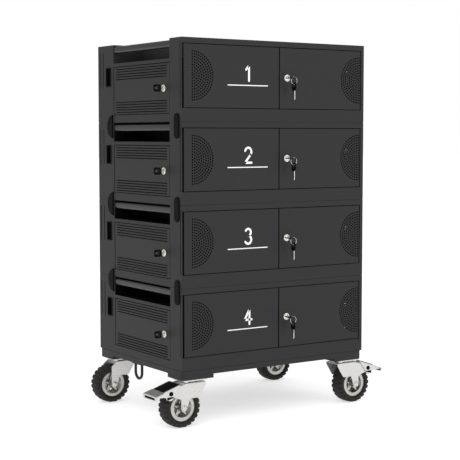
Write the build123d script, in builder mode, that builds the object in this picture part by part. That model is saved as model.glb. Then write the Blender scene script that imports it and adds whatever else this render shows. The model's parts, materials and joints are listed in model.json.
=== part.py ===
from build123d import *

import math
import os

# A charging cabinet for laptops: four steel modules stacked on a base frame with four casters.
# Origin: middle of the footprint, on the floor. +Z is up, the doors face -Y, +X is to their right.
# Module pieces are drawn once, for the top module, and copied downwards.

# Body
BODY_WIDTH = 696.0
BODY_DEPTH = 525.0
MODULE_HEIGHT = 250.0
MODULE_COUNT = 4
SHEET = 1.5
SEAM_INSET = 1.0
POST_FRONT = 69.0
POST_REAR = 105.0
BAY_WIDTH = 100.0

# Handle recess at the top of each side
RECESS_HEIGHT = 60.0
HANDLE_DROP = 5.0
HANDLE_TALL = 22.0
HANDLE_THICK = 20.0
HANDLE_ROUND = 7.0

# Front doors, measured from the left edge and the top of the module
DOOR_DEPTH = 15.0
DOOR_SEAM = 2.0
DOOR_EDGE_ROUND = 1.0
FRONT_DOOR_TOP = 19.0
FRONT_DOOR_TALL = 188.3
LEFT_DOOR_START = 8.0
LEFT_DOOR_END = 355.0
RIGHT_DOOR_START = 358.5
RIGHT_DOOR_END = 681.0
RIGHT_STILE_START = 684.0
FRAME_DEPTH = 18.0

# Side door, in its opening between the posts
SIDE_DOOR_TOP = 70.6
SIDE_OPENING_TALL = 155.0
HINGE_SIDE_GAP = 3.5

# Hinge pins
HINGE_INSET = 5.0
PIN_RADIUS = 2.0
PIN_CLEARANCE = 0.05
PIN_ENGAGEMENT = 6.0

# Round vents in the front doors
VENT_RADIUS = 75.0
VENT_RINGS = 9
VENT_HOLE_RADIUS = 2.6
VENT_HOLE_PITCH = 7.8
VENT_MARGIN = 27.0
VENT_CENTRE_DROP = 113.0

# Louvre slots of the side doors and panels
LOUVRE_COUNT = 5
LOUVRE_PITCH = 8.0
LOUVRE_TALL = 2.6
LOUVRE_LENGTH = 319.0
LOUVRE_UPPER_DROP = 80.0
LOUVRE_LOWER_DROP = 185.0

# Slots and cut-outs in the posts
POST_SLOT_WIDTH = 4.0
POST_SLOT_TALL = 114.0
POST_SLOT_DROP = 21.0
POST_SLOT_PITCH = 22.0
POST_SLOT_START = 489.0
EDGE_SLOT_FROM_FRONT = 8.5
EDGE_SLOT_TALL = 196.0
EDGE_SLOT_DROP = 12.0
BACK_VENT_ROWS = 12
BACK_VENT_LENGTH = 60.0
BACK_VENT_TALL = 4.0
BACK_VENT_ROW_PITCH = 14.0

# Cam locks and keys
LOCK_FACE_RADIUS = 11.0
LOCK_FACE_PROUD = 2.0
LOCK_BARREL_RADIUS = 9.0
LOCK_CLEARANCE = 0.05
LOCK_NUT_RADIUS = 13.0
LOCK_NUT_THICK = 3.0
CAM_GAP = 1.5
CAM_THICK = 2.0
CAM_WIDTH = 14.0
FRONT_CAM_REACH = 38.0
SIDE_CAM_REACH = 46.0
FRONT_LOCK_FROM_LEFT = 386.5
FRONT_LOCK_DROP = 112.0
SIDE_LOCK_FROM_FRONT = 104.0
SIDE_LOCK_DROP = 148.0
KEY_BLADE_WIDTH = 8.0
KEY_BLADE_THICK = 2.2
KEY_SHANK = 8.0
KEY_BOW_LENGTH = 26.0
KEY_BOW_WIDTH = 22.0
KEY_BOW_THICK = 2.5
KEY_BOW_ROUND = 6.0
KEY_HOLE_RADIUS = 4.5
KEY_HOLE_FROM_TIP = 9.0
SPARE_BLADE_LENGTH = 28.0
RING_RADIUS = 11.0
RING_WIRE_RADIUS = 1.0
RING_SEAT = 0.3

# Inside the modules
SHELF_COUNT = 4
SHELF_SETBACK = 25.0
STRIP_WIDTH = 46.0
STRIP_TALL = 40.0
STRIP_LENGTH = 360.0
STRIP_START = 110.0
SOCKET_COUNT = 6
SOCKET_RADIUS = 16.0
SOCKET_DEPTH = 12.0
INLET_START = 439.0
INLET_WIDTH = 30.0
INLET_TALL = 61.0
INLET_DROP = 72.0
INLET_PROUD = 2.0
INLET_BODY_DEPTH = 32.0
INLET_RIM = 3.0
INLET_WELL_DEPTH = 18.0

# Joining clips over the seams between modules
CLIP_THICK = 4.0
CLIP_TALL = 76.0
CLIP_WIDTH = 27.0
CLIP_FRONT_CENTRE = 26.5
CLIP_REAR_START = 425.0
CLIP_REAR_WIDTH = 35.0
CLIP_BELOW_SEAM = 12.0

# Base frame, its corner pads and the towing ring
BASE_TALL = 16.0
BASE_RAIL_WIDTH = 60.0
PAD_TALL = 12.0
PAD_LENGTH = 112.0
PAD_WIDTH = 86.0
PAD_CHAMFER = 10.0
TOW_RING_WIDTH = 50.0
TOW_RING_DROP = 58.0
TOW_RING_WIRE_RADIUS = 4.5
TOW_RING_FROM_SIDE = 20.0
TOW_RING_CENTRE = 300.0

# Casters
CASTER_HEIGHT = 148.0
WHEEL_RADIUS = 62.5
TYRE_WIDTH = 53.0
TYRE_BEAD = 4.0
TYRE_WALL_START = 3.0
TYRE_SHOULDER_TALL = 10.0
TYRE_SHOULDER_WIDE = 15.0
RIM_RADIUS = 43.0
RIM_BAR = 5.0
RIM_WIDTH = 42.0
HUB_RADIUS = 13.0
HUB_WIDTH = 55.0
SPOKE_COUNT = 5
SPOKE_THICK = 14.0
SPOKE_WIDTH = 11.0
SPOKE_OVERLAP = 2.0
TREAD_COUNT = 22
TREAD_GROOVE = 5.0
TREAD_DEPTH = 4.0
AXLE_RADIUS = 5.0
AXLE_CLEARANCE = 0.05
AXLE_HEAD_RADIUS = 9.0
AXLE_HEAD_THICK = 5.0
SWIVEL_FROM_SIDE = 50.0
SWIVEL_FROM_END = 42.0
CASTER_TRAIL = 36.0
TOP_PLATE_SIZE = 84.0
TOP_PLATE_THICK = 3.5
RACE_RADIUS = 26.0
RACE_THICK = 7.0
RACE_TAPER = 20.0
RACE_CLEARANCE = 0.3
KINGPIN_RADIUS = 6.0
KINGPIN_SINK = 1.0
FORK_THICK = 3.0
FORK_GAP = 2.0
FORK_END_RADIUS = 11.0
FORK_CROWN_INNER = 41.0
FORK_CROWN_OUTER = 28.0
FORK_INNER_DROP = 9.0
FORK_OUTER_DROP = 15.0
FORK_FOOT_HEIGHT = 90.0
FORK_FOOT_INNER = 17.0
FORK_NECK = 20.0
BOLT_INSET = 12.0
BOLT_HEAD_RADIUS = 6.5
BOLT_HEAD_THICK = 4.0

# Brake pedals of the front casters, measured outwards from the swivel
PEDAL_THICK = 3.0
PEDAL_INNER = 50.0
PEDAL_OUTER = 140.0
PEDAL_FLARE_START = 112.0
PEDAL_TIP_WIDTH = 80.0
PEDAL_TOP_INNER = 138.0
PEDAL_TOP_OUTER = 109.0
PEDAL_SIDE_GAP = 0.5
PEDAL_FLANGE_TALL = 6.0
PEDAL_LIP = 13.0
PEDAL_SLOT_LENGTH = 58.0
PEDAL_SLOT_TALL = 5.0
PEDAL_PIVOT_OUT = 85.0
PEDAL_PIVOT_HEIGHT = 112.0
PEDAL_LOBE_RADIUS = 12.0
PEDAL_LOBE_DROP = 9.0
PEDAL_BOLT_RADIUS = 4.0
PEDAL_HEAD_RADIUS = 7.0
PEDAL_HEAD_THICK = 3.0
PEDAL_CLEARANCE = 0.05
PEDAL_EAR_RADIUS = 8.0
GRIP_THICK = 2.5
GRIP_START = 53.0
GRIP_LENGTH = 56.0
GRIP_WIDTH = 60.0
GRIP_RIBS = 6

# Derived places
BASE_TOP = CASTER_HEIGHT + PAD_TALL + BASE_TALL
TOP = BASE_TOP + MODULE_COUNT * MODULE_HEIGHT
BOTTOM = TOP - MODULE_HEIGHT
LEFT = -BODY_WIDTH / 2
RIGHT = BODY_WIDTH / 2
KEY_PROJECTION = LOCK_FACE_PROUD + KEY_SHANK + KEY_BOW_LENGTH
RING_PROJECTION = KEY_PROJECTION - KEY_HOLE_FROM_TIP
FRONT_PROJECTION = max(KEY_PROJECTION, RING_PROJECTION + KEY_BOW_WIDTH / 2)
FRONT = -(BODY_DEPTH - FRONT_PROJECTION) / 2
BACK = FRONT + BODY_DEPTH
RECESS_START = FRONT + POST_FRONT
RECESS_END = BACK - POST_REAR
RECESS_FLOOR = TOP - RECESS_HEIGHT
BAY_LEFT = LEFT + BAY_WIDTH
BAY_RIGHT = RIGHT - BAY_WIDTH
FRAME_BACK = FRONT + FRAME_DEPTH
DOOR_TOP = TOP - FRONT_DOOR_TOP
DOOR_BOTTOM = DOOR_TOP - FRONT_DOOR_TALL
OPENING_TOP = DOOR_TOP + DOOR_SEAM
OPENING_BOTTOM = DOOR_BOTTOM - DOOR_SEAM
SIDE_TOP = TOP - SIDE_DOOR_TOP
SIDE_BOTTOM = SIDE_TOP - SIDE_OPENING_TALL
SIDE_DOOR_START = RECESS_START + DOOR_SEAM
SIDE_DOOR_END = RECESS_END - HINGE_SIDE_GAP
CAM_FACE = FRAME_DEPTH + CAM_GAP
FRONT_LOCK_X = LEFT + FRONT_LOCK_FROM_LEFT
FRONT_LOCK_Z = TOP - FRONT_LOCK_DROP
SIDE_LOCK_Y = FRONT + SIDE_LOCK_FROM_FRONT
SIDE_LOCK_Z = TOP - SIDE_LOCK_DROP
AXLE_HEIGHT = WHEEL_RADIUS
CROWN_TOP = CASTER_HEIGHT - TOP_PLATE_THICK - RACE_THICK - RACE_CLEARANCE
FORK_INSIDE = TYRE_WIDTH / 2 + FORK_GAP
FORK_OUTSIDE = FORK_INSIDE + FORK_THICK
PEDAL_WIDTH = 2 * (FORK_OUTSIDE + PEDAL_SIDE_GAP + PEDAL_THICK)

os.makedirs("parts", exist_ok=True)


def block(x, y, z, mode=Mode.ADD):
    """A box between two x values, two y values and two z values, in the part being built."""
    with Locations(((x[0] + x[1]) / 2, (y[0] + y[1]) / 2, (z[0] + z[1]) / 2)):
        Box(abs(x[1] - x[0]), abs(y[1] - y[0]), abs(z[1] - z[0]), mode=mode)


def in_each_module(piece):
    """Copies of a top-module piece, one for each module, as one group of solids."""
    return [piece.moved(Location((0, 0, -level * MODULE_HEIGHT))) for level in range(MODULE_COUNT)]


def save(piece, name):
    """Label a piece and write it under its own name."""
    piece.label = name
    export_step(piece, f"parts/{name}.step")


def save_group(pieces, name):
    """Write several separate solids of one kind as one node."""
    save(Compound(children=list(pieces)), name)


def save_modules(piece, name):
    """Write one node for each module, numbered from the top."""
    for level in range(MODULE_COUNT):
        save(piece.moved(Location((0, 0, -level * MODULE_HEIGHT))), f"{name}_{level + 1}")


def front_plane(y):
    """A plane facing the front at the given y, with X to the right and Z up."""
    return Plane(origin=(0, y, 0), x_dir=(1, 0, 0), z_dir=(0, -1, 0))


def side_plane(x):
    """A plane at the given x with local X along +Y and local Y along +Z, facing +X."""
    return Plane(origin=(x, 0, 0), x_dir=(0, 1, 0), z_dir=(1, 0, 0))


# Module roof, cut away over both handle recesses
with BuildPart() as roof:
    block((LEFT, RIGHT), (FRONT, BACK), (TOP - SHEET, TOP))
    block((LEFT, BAY_LEFT), (RECESS_START, RECESS_END), (TOP - SHEET, TOP), Mode.SUBTRACT)
    block((BAY_RIGHT, RIGHT), (RECESS_START, RECESS_END), (TOP - SHEET, TOP), Mode.SUBTRACT)
    fillet(roof.edges().filter_by(Axis.Z).group_by(Axis.Y)[0], SEAM_INSET)

# Module floor, set in to leave the seam line between modules
with BuildPart() as floor:
    block(
        (LEFT + SEAM_INSET, RIGHT - SEAM_INSET),
        (FRONT + SEAM_INSET, BACK - SEAM_INSET),
        (BOTTOM, BOTTOM + SHEET),
    )

save_group(in_each_module(roof.part) + in_each_module(floor.part), "casing_roofs_and_floors")

# Walls stand between floor and roof
WALL = (BOTTOM + SHEET, TOP - SHEET)

# Back panel with a column of vent slots behind each side bay
with BuildPart() as back_panel:
    block((LEFT, RIGHT), (BACK - SHEET, BACK), WALL)
    with BuildSketch(front_plane(BACK - SHEET)) as back_vents:
        with Locations((0, (TOP + BOTTOM) / 2)):
            with GridLocations(
                BODY_WIDTH - BAY_WIDTH, BACK_VENT_ROW_PITCH, 2, BACK_VENT_ROWS
            ):
                SlotOverall(BACK_VENT_LENGTH, BACK_VENT_TALL)
    extrude(amount=-SHEET, mode=Mode.SUBTRACT)

save_group(in_each_module(back_panel.part), "casing_backs")

SIDE_DEPTH = (FRONT + SHEET, BACK - SHEET)


def louvres(plane):
    """Two fields of louvre slots through a side sheet that starts on the given plane."""
    middle = (RECESS_START + RECESS_END) / 2
    with BuildSketch(plane) as slots:
        for drop in (LOUVRE_UPPER_DROP, LOUVRE_LOWER_DROP):
            for row in range(LOUVRE_COUNT):
                with Locations((middle, TOP - drop - row * LOUVRE_PITCH)):
                    SlotOverall(LOUVRE_LENGTH, LOUVRE_TALL)
    extrude(slots.sketch, amount=SHEET, mode=Mode.SUBTRACT)


def rear_post_slots(plane):
    """Two tall vent slots through the rear post of a side sheet."""
    with BuildSketch(plane) as slots:
        for column in range(2):
            y = FRONT + POST_SLOT_START + column * POST_SLOT_PITCH
            with Locations((y, TOP - POST_SLOT_DROP - POST_SLOT_TALL / 2)):
                SlotOverall(POST_SLOT_TALL, POST_SLOT_WIDTH, rotation=90)
    extrude(slots.sketch, amount=SHEET, mode=Mode.SUBTRACT)


# Left side: a front post, a rear post, and a rail above and below the side door's opening,
# each with its return flange
RECESS_Y = (RECESS_START, RECESS_END)
SIDE_OPENING_Z = (SIDE_BOTTOM, SIDE_TOP)
LEFT_SKIN = (LEFT, LEFT + SHEET)
LEFT_FLANGE = (LEFT + SHEET, LEFT + FRAME_DEPTH)

with BuildPart() as left_front_post:
    block(LEFT_SKIN, (FRONT + SHEET, RECESS_START), WALL)
    block(LEFT_SKIN, (FRONT, FRONT + SHEET), (OPENING_BOTTOM, OPENING_TOP))
    block(LEFT_FLANGE, (RECESS_START - SHEET, RECESS_START), SIDE_OPENING_Z)
    edge_slot = FRONT + EDGE_SLOT_FROM_FRONT
    block(LEFT_SKIN, (edge_slot - POST_SLOT_WIDTH / 2, edge_slot + POST_SLOT_WIDTH / 2),
          (TOP - EDGE_SLOT_DROP - EDGE_SLOT_TALL, TOP - EDGE_SLOT_DROP), Mode.SUBTRACT)

with BuildPart() as left_rear_post:
    block(LEFT_SKIN, (RECESS_END, BACK - SHEET), WALL)
    block(LEFT_FLANGE, (RECESS_END, RECESS_END + SHEET), SIDE_OPENING_Z)
    rear_post_slots(side_plane(LEFT))
    block(LEFT_SKIN,
          (FRONT + INLET_START + INLET_RIM / 2, FRONT + INLET_START + INLET_WIDTH - INLET_RIM / 2),
          (TOP - INLET_DROP - INLET_TALL + INLET_RIM / 2, TOP - INLET_DROP - INLET_RIM / 2),
          Mode.SUBTRACT)

with BuildPart() as left_upper_rail:
    block(LEFT_SKIN, RECESS_Y, (SIDE_TOP, RECESS_FLOOR))
    block(LEFT_FLANGE, RECESS_Y, (SIDE_TOP, SIDE_TOP + SHEET))

with BuildPart() as left_lower_rail:
    block(LEFT_SKIN, RECESS_Y, (WALL[0], SIDE_BOTTOM))
    block(LEFT_FLANGE, RECESS_Y, (SIDE_BOTTOM - SHEET, SIDE_BOTTOM))

left_sides = []
for piece in (left_front_post, left_rear_post, left_upper_rail, left_lower_rail):
    left_sides += in_each_module(piece.part)
save_group(left_sides, "casing_left_sides")

# Right side sheet: the same posts and recess, with fixed louvres in place of a door
with BuildPart() as right_side:
    block((RIGHT - SHEET, RIGHT), SIDE_DEPTH, WALL)
    block((RIGHT - SHEET, RIGHT), (RECESS_START, RECESS_END), (RECESS_FLOOR, TOP), Mode.SUBTRACT)
    rear_post_slots(side_plane(RIGHT - SHEET))
    louvres(side_plane(RIGHT - SHEET))

save_group(in_each_module(right_side.part), "casing_right_sides")

# Front frame: a rail above and below the doors and a stile on the right, each with its return
# flange
STILE_X = LEFT + RIGHT_STILE_START
FRONT_SKIN = (FRONT, FRONT + SHEET)
FRONT_FLANGE = (FRONT + SHEET, FRAME_BACK)

with BuildPart() as front_upper_rail:
    block((LEFT, RIGHT), FRONT_SKIN, (OPENING_TOP, WALL[1]))
    block((LEFT + SHEET, STILE_X), FRONT_FLANGE, (OPENING_TOP, OPENING_TOP + SHEET))

with BuildPart() as front_lower_rail:
    block((LEFT, RIGHT), FRONT_SKIN, (WALL[0], OPENING_BOTTOM))
    block((LEFT + SHEET, STILE_X), FRONT_FLANGE, (OPENING_BOTTOM - SHEET, OPENING_BOTTOM))

with BuildPart() as front_stile:
    block((STILE_X, RIGHT), FRONT_SKIN, (OPENING_BOTTOM, OPENING_TOP))
    block((STILE_X, STILE_X + SHEET), FRONT_FLANGE, (OPENING_BOTTOM, OPENING_TOP))

front_frames = []
for piece in (front_upper_rail, front_lower_rail, front_stile):
    front_frames += in_each_module(piece.part)
save_group(front_frames, "front_frames")

# Liners: the wall between a side bay and the laptop space, and the handle recess's floor and ends
LINER_X = (LEFT + SHEET, BAY_LEFT)
with BuildPart() as bay_wall:
    block((BAY_LEFT, BAY_LEFT + SHEET), (FRONT + SHELF_SETBACK, BACK - SHEET), WALL)

with BuildPart() as recess_tray:
    block(LINER_X, (RECESS_START - SHEET, RECESS_END + SHEET), (RECESS_FLOOR - SHEET, RECESS_FLOOR))

with BuildPart() as recess_ends:
    block(LINER_X, (RECESS_START - SHEET, RECESS_START), (RECESS_FLOOR, TOP - SHEET))
    block(LINER_X, (RECESS_END, RECESS_END + SHEET), (RECESS_FLOOR, TOP - SHEET))

liners = []
for piece in (bay_wall, recess_tray, recess_ends):
    liners += in_each_module(piece.part) + in_each_module(piece.part.mirror(Plane.YZ))
save_group(liners, "side_bay_liners")

# Handle bars across the recesses
with BuildPart() as left_handle:
    with BuildSketch(front_plane(RECESS_START)):
        with Locations((LEFT + SHEET + HANDLE_THICK / 2, TOP - HANDLE_DROP - HANDLE_TALL / 2)):
            RectangleRounded(HANDLE_THICK, HANDLE_TALL, HANDLE_ROUND)
    extrude(amount=-(RECESS_END - RECESS_START))

right_handle = left_handle.part.mirror(Plane.YZ)
save_group(in_each_module(left_handle.part) + in_each_module(right_handle), "handle_bars")


def front_door(start, end, vent_edge, vent_side, hinge_x):
    """A pan-shaped door with a half-round vent field and a hole at each end for its hinge pins.

    The vent's flat side is at vent_edge and it bulges towards vent_side, +1 or -1 along X.
    """
    with BuildPart() as door:
        block((LEFT + start, LEFT + end), (FRONT, FRONT + DOOR_DEPTH), (DOOR_BOTTOM, DOOR_TOP))
        fillet(door.faces().sort_by(Axis.Y)[0].edges(), DOOR_EDGE_ROUND)
        block((LEFT + start + SHEET, LEFT + end - SHEET), (FRONT + SHEET, FRONT + DOOR_DEPTH),
              (DOOR_BOTTOM + SHEET, DOOR_TOP - SHEET), Mode.SUBTRACT)
        holes = []
        ring_pitch = (VENT_RADIUS - VENT_HOLE_RADIUS) / VENT_RINGS
        for ring in range(VENT_RINGS + 1):
            radius = ring * ring_pitch
            steps = max(1, round(math.pi * radius / VENT_HOLE_PITCH))
            for step in range(steps + 1 if ring else 1):
                angle = -math.pi / 2 + math.pi * step / steps
                holes.append((vent_edge + vent_side * radius * math.cos(angle),
                              TOP - VENT_CENTRE_DROP + radius * math.sin(angle)))
        with BuildSketch(front_plane(FRONT)) as vent:
            with Locations(*holes):
                Circle(VENT_HOLE_RADIUS)
        extrude(vent.sketch, amount=-SHEET, mode=Mode.SUBTRACT)
        with Locations((hinge_x, FRONT + HINGE_INSET, (DOOR_TOP + DOOR_BOTTOM) / 2)):
            Cylinder(PIN_RADIUS + PIN_CLEARANCE, FRONT_DOOR_TALL, mode=Mode.SUBTRACT)
    return door.part


LEFT_HINGE_X = LEFT + LEFT_DOOR_START + HINGE_INSET
RIGHT_HINGE_X = LEFT + RIGHT_DOOR_END - HINGE_INSET
left_door = front_door(LEFT_DOOR_START, LEFT_DOOR_END,
                       LEFT + LEFT_DOOR_START + VENT_MARGIN + VENT_HOLE_RADIUS, 1, LEFT_HINGE_X)
save_modules(left_door, "front_door_left")

right_door = front_door(RIGHT_DOOR_START, RIGHT_DOOR_END,
                        LEFT + RIGHT_DOOR_END - VENT_HOLE_RADIUS * 2, -1, RIGHT_HINGE_X)
with BuildPart() as drilled_right_door:
    add(right_door)
    with BuildSketch(front_plane(FRONT)):
        with Locations((FRONT_LOCK_X, FRONT_LOCK_Z)):
            Circle(LOCK_BARREL_RADIUS + LOCK_CLEARANCE)
    extrude(amount=-SHEET, mode=Mode.SUBTRACT)

save_modules(drilled_right_door.part, "front_door_right")

# Side door: a louvred pan, hinged at its rear edge
SIDE_HINGE_Y = SIDE_DOOR_END - HINGE_INSET
with BuildPart() as side_door:
    block((LEFT, LEFT + DOOR_DEPTH), (SIDE_DOOR_START, SIDE_DOOR_END),
          (SIDE_BOTTOM + DOOR_SEAM, SIDE_TOP - DOOR_SEAM))
    fillet(side_door.faces().sort_by(Axis.X)[0].edges(), DOOR_EDGE_ROUND)
    block((LEFT + SHEET, LEFT + DOOR_DEPTH), (SIDE_DOOR_START + SHEET, SIDE_DOOR_END - SHEET),
          (SIDE_BOTTOM + DOOR_SEAM + SHEET, SIDE_TOP - DOOR_SEAM - SHEET), Mode.SUBTRACT)
    louvres(side_plane(LEFT))
    with BuildSketch(side_plane(LEFT)):
        with Locations((SIDE_LOCK_Y, SIDE_LOCK_Z)):
            Circle(LOCK_BARREL_RADIUS + LOCK_CLEARANCE)
    extrude(amount=SHEET, mode=Mode.SUBTRACT)
    with Locations((LEFT + HINGE_INSET, SIDE_HINGE_Y, (SIDE_TOP + SIDE_BOTTOM) / 2)):
        Cylinder(PIN_RADIUS + PIN_CLEARANCE, SIDE_OPENING_TALL, mode=Mode.SUBTRACT)

save_modules(side_door.part, "side_door")

# Hinge pins stand on the return flanges and reach into the doors' ends
with BuildPart() as hinge_pins:
    PIN_LENGTH = DOOR_SEAM + SHEET + PIN_ENGAGEMENT
    for x, y, low, high in (
        (LEFT_HINGE_X, FRONT + HINGE_INSET, OPENING_BOTTOM, OPENING_TOP),
        (RIGHT_HINGE_X, FRONT + HINGE_INSET, OPENING_BOTTOM, OPENING_TOP),
        (LEFT + HINGE_INSET, SIDE_HINGE_Y, SIDE_BOTTOM, SIDE_TOP),
    ):
        for z in (low + PIN_LENGTH / 2, high - PIN_LENGTH / 2):
            with Locations((x, y, z)):
                Cylinder(PIN_RADIUS, PIN_LENGTH)

save_group(in_each_module(hinge_pins.part), "hinge_pins")


def cam_lock(face, reach, tip):
    """A cam lock on a plane that faces out of its door, with its cam pointing along tip."""
    with BuildPart() as lock:
        with BuildSketch(face):
            Circle(LOCK_FACE_RADIUS)
        extrude(amount=LOCK_FACE_PROUD)
        fillet(lock.edges().filter_by(GeomType.CIRCLE).sort_by(Axis(face.origin, face.z_dir))[-1],
               LOCK_FACE_PROUD / 2)
        with BuildSketch(face):
            Circle(LOCK_BARREL_RADIUS)
        extrude(amount=-CAM_FACE)
        with BuildSketch(face.offset(-SHEET)):
            RegularPolygon(LOCK_NUT_RADIUS, 6)
        extrude(amount=-LOCK_NUT_THICK)
        with BuildSketch(face.offset(-CAM_FACE)):
            with Locations(tip * (reach - CAM_WIDTH / 2) / 2):
                SlotOverall(reach + CAM_WIDTH / 2, CAM_WIDTH, rotation=math.degrees(
                    math.atan2(tip.Y, tip.X)))
        extrude(amount=-CAM_THICK)
    return lock.part


def key(face, blade_along):
    """A key on the lock face: a short blade with a flat bow, both lying along blade_along."""
    with BuildPart() as piece:
        turned = Plane(origin=face.origin, x_dir=blade_along, z_dir=face.z_dir)
        with BuildSketch(turned.offset(LOCK_FACE_PROUD)):
            Rectangle(KEY_BLADE_WIDTH, KEY_BLADE_THICK)
        extrude(amount=KEY_SHANK)
        flat = Plane(origin=face.origin, x_dir=blade_along, z_dir=face.z_dir.cross(blade_along))
        out = LOCK_FACE_PROUD + KEY_SHANK
        sign = 1 if flat.y_dir.dot(face.z_dir) > 0 else -1
        with BuildSketch(flat.offset(-KEY_BOW_THICK / 2)):
            with Locations((0, sign * (out + KEY_BOW_LENGTH / 2))):
                RectangleRounded(KEY_BOW_WIDTH, KEY_BOW_LENGTH, KEY_BOW_ROUND)
            with Locations((0, sign * (out + KEY_BOW_LENGTH - KEY_HOLE_FROM_TIP))):
                Circle(KEY_HOLE_RADIUS, mode=Mode.SUBTRACT)
        extrude(amount=KEY_BOW_THICK)
    return piece.part


# Front locks: the key's blade lies level, and its ring hangs from the bow's right side
front_lock_face = Plane(origin=(FRONT_LOCK_X, FRONT, FRONT_LOCK_Z), x_dir=(1, 0, 0), z_dir=(0, -1, 0))
save_modules(cam_lock(front_lock_face, FRONT_CAM_REACH, Vector(0, -1)), "front_lock")

front_key = key(front_lock_face, Vector(1, 0, 0))
RING_Y = FRONT - RING_PROJECTION
RING_OUTSIDE = KEY_BOW_WIDTH / 2 + RING_WIRE_RADIUS + 2.0
RING_SHIFT = (RING_OUTSIDE + 0.5) / 2
RING_HALF_CHORD = RING_OUTSIDE - RING_SHIFT
RING_SINK = math.sqrt(RING_RADIUS**2 - RING_HALF_CHORD**2)
RING_X = FRONT_LOCK_X + RING_SHIFT
RING_Z = FRONT_LOCK_Z - RING_SINK
with BuildPart() as key_ring:
    with Locations(Location((RING_X, RING_Y, RING_Z), (90, 0, 0))):
        Torus(RING_RADIUS, RING_WIRE_RADIUS)

for level in range(MODULE_COUNT):
    drop = Location((0, 0, -level * MODULE_HEIGHT))
    save_group([front_key.moved(drop), key_ring.part.moved(drop)], f"front_key_{level + 1}")

# Spare key hanging on the ring, blade down
SPARE_HOLE_Z = RING_Z - RING_RADIUS - (KEY_HOLE_RADIUS - RING_WIRE_RADIUS - RING_SEAT)
with BuildPart() as spare_key:
    SPARE_TOP = SPARE_HOLE_Z + KEY_HOLE_FROM_TIP
    with BuildSketch(side_plane(RING_X - KEY_BOW_THICK / 2)):
        with Locations((RING_Y, SPARE_TOP - KEY_BOW_LENGTH / 2)):
            RectangleRounded(KEY_BOW_WIDTH, KEY_BOW_LENGTH, KEY_BOW_ROUND)
        with Locations((RING_Y, SPARE_HOLE_Z)):
            Circle(KEY_HOLE_RADIUS, mode=Mode.SUBTRACT)
    extrude(amount=KEY_BOW_THICK)
    with BuildSketch(side_plane(RING_X - KEY_BLADE_THICK / 2)):
        with Locations((RING_Y, SPARE_TOP - KEY_BOW_LENGTH - SPARE_BLADE_LENGTH / 2)):
            Rectangle(KEY_BLADE_WIDTH, SPARE_BLADE_LENGTH)
    extrude(amount=KEY_BLADE_THICK)

save_modules(spare_key.part, "spare_key")

# Side locks: the key's blade stands upright
side_lock_face = Plane(origin=(LEFT, SIDE_LOCK_Y, SIDE_LOCK_Z), x_dir=(0, -1, 0), z_dir=(-1, 0, 0))
save_modules(cam_lock(side_lock_face, SIDE_CAM_REACH, Vector(0, -1)), "side_lock")
save_modules(key(side_lock_face, Vector(0, 0, 1)), "side_key")

# Shelves between the bay walls; the lowest is level with the foot of the door opening
SHELF_SPACING = (OPENING_TOP - OPENING_BOTTOM) / SHELF_COUNT
with BuildPart() as shelf:
    block((BAY_LEFT + SHEET, BAY_RIGHT - SHEET), (FRONT + SHELF_SETBACK, BACK - SHEET),
          (OPENING_BOTTOM, OPENING_BOTTOM + SHEET))

shelves = []
for row in range(SHELF_COUNT):
    shelves += in_each_module(shelf.part.moved(Location((0, 0, row * SHELF_SPACING))))
save_group(shelves, "laptop_shelves")

# Power strips on the floor of each left side bay
with BuildPart() as power_strip:
    strip_y = (FRONT + STRIP_START, FRONT + STRIP_START + STRIP_LENGTH)
    block((BAY_LEFT - STRIP_WIDTH, BAY_LEFT), strip_y, (BOTTOM + SHEET, BOTTOM + SHEET + STRIP_TALL))
    socket_pitch = STRIP_LENGTH / SOCKET_COUNT
    with BuildSketch(Plane.XY.offset(BOTTOM + SHEET + STRIP_TALL)):
        with Locations((BAY_LEFT - STRIP_WIDTH / 2, (strip_y[0] + strip_y[1]) / 2)):
            with GridLocations(socket_pitch, socket_pitch, 1, SOCKET_COUNT):
                Circle(SOCKET_RADIUS)
    extrude(amount=-SOCKET_DEPTH, mode=Mode.SUBTRACT)

save_group(in_each_module(power_strip.part), "power_strips")

# Power inlets in the left rear posts
with BuildPart() as inlet:
    inlet_y = (FRONT + INLET_START, FRONT + INLET_START + INLET_WIDTH)
    inlet_z = (TOP - INLET_DROP - INLET_TALL, TOP - INLET_DROP)
    inner_y = (inlet_y[0] + INLET_RIM / 2, inlet_y[1] - INLET_RIM / 2)
    inner_z = (inlet_z[0] + INLET_RIM / 2, inlet_z[1] - INLET_RIM / 2)
    block((LEFT - INLET_PROUD, LEFT), inlet_y, inlet_z)
    block((LEFT, LEFT + INLET_BODY_DEPTH), inner_y, inner_z)
    block((LEFT - INLET_PROUD, LEFT + INLET_WELL_DEPTH), (inlet_y[0] + INLET_RIM, inlet_y[1] - INLET_RIM),
          (inlet_z[0] + INLET_RIM, inlet_z[1] - INLET_RIM), Mode.SUBTRACT)

save_group(in_each_module(inlet.part), "power_inlets")

# Joining clips over each seam, a long round-ended one at the front and a half-round one behind
with BuildPart() as left_clips:
    clip_z = BOTTOM - CLIP_BELOW_SEAM
    with BuildSketch(side_plane(LEFT - CLIP_THICK)) as clip_outline:
        with Locations((FRONT + CLIP_FRONT_CENTRE, clip_z)):
            SlotOverall(CLIP_TALL, CLIP_WIDTH, rotation=90)
        with BuildLine():
            start = (FRONT + CLIP_REAR_START, clip_z + CLIP_TALL / 2)
            end = (FRONT + CLIP_REAR_START, clip_z - CLIP_TALL / 2)
            ThreePointArc(start, (FRONT + CLIP_REAR_START + CLIP_REAR_WIDTH, clip_z), end)
            Line(end, start)
        make_face()
    extrude(amount=CLIP_THICK)
    fillet(left_clips.faces().filter_by(Axis.X).group_by(Axis.X)[0].edges(), CLIP_THICK / 3)

clips = []
for seam in range(MODULE_COUNT - 1):
    lower = Location((0, 0, -seam * MODULE_HEIGHT))
    clips += [left_clips.part.moved(lower), left_clips.part.mirror(Plane.YZ).moved(lower)]
save_group(clips, "module_clips")

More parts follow.
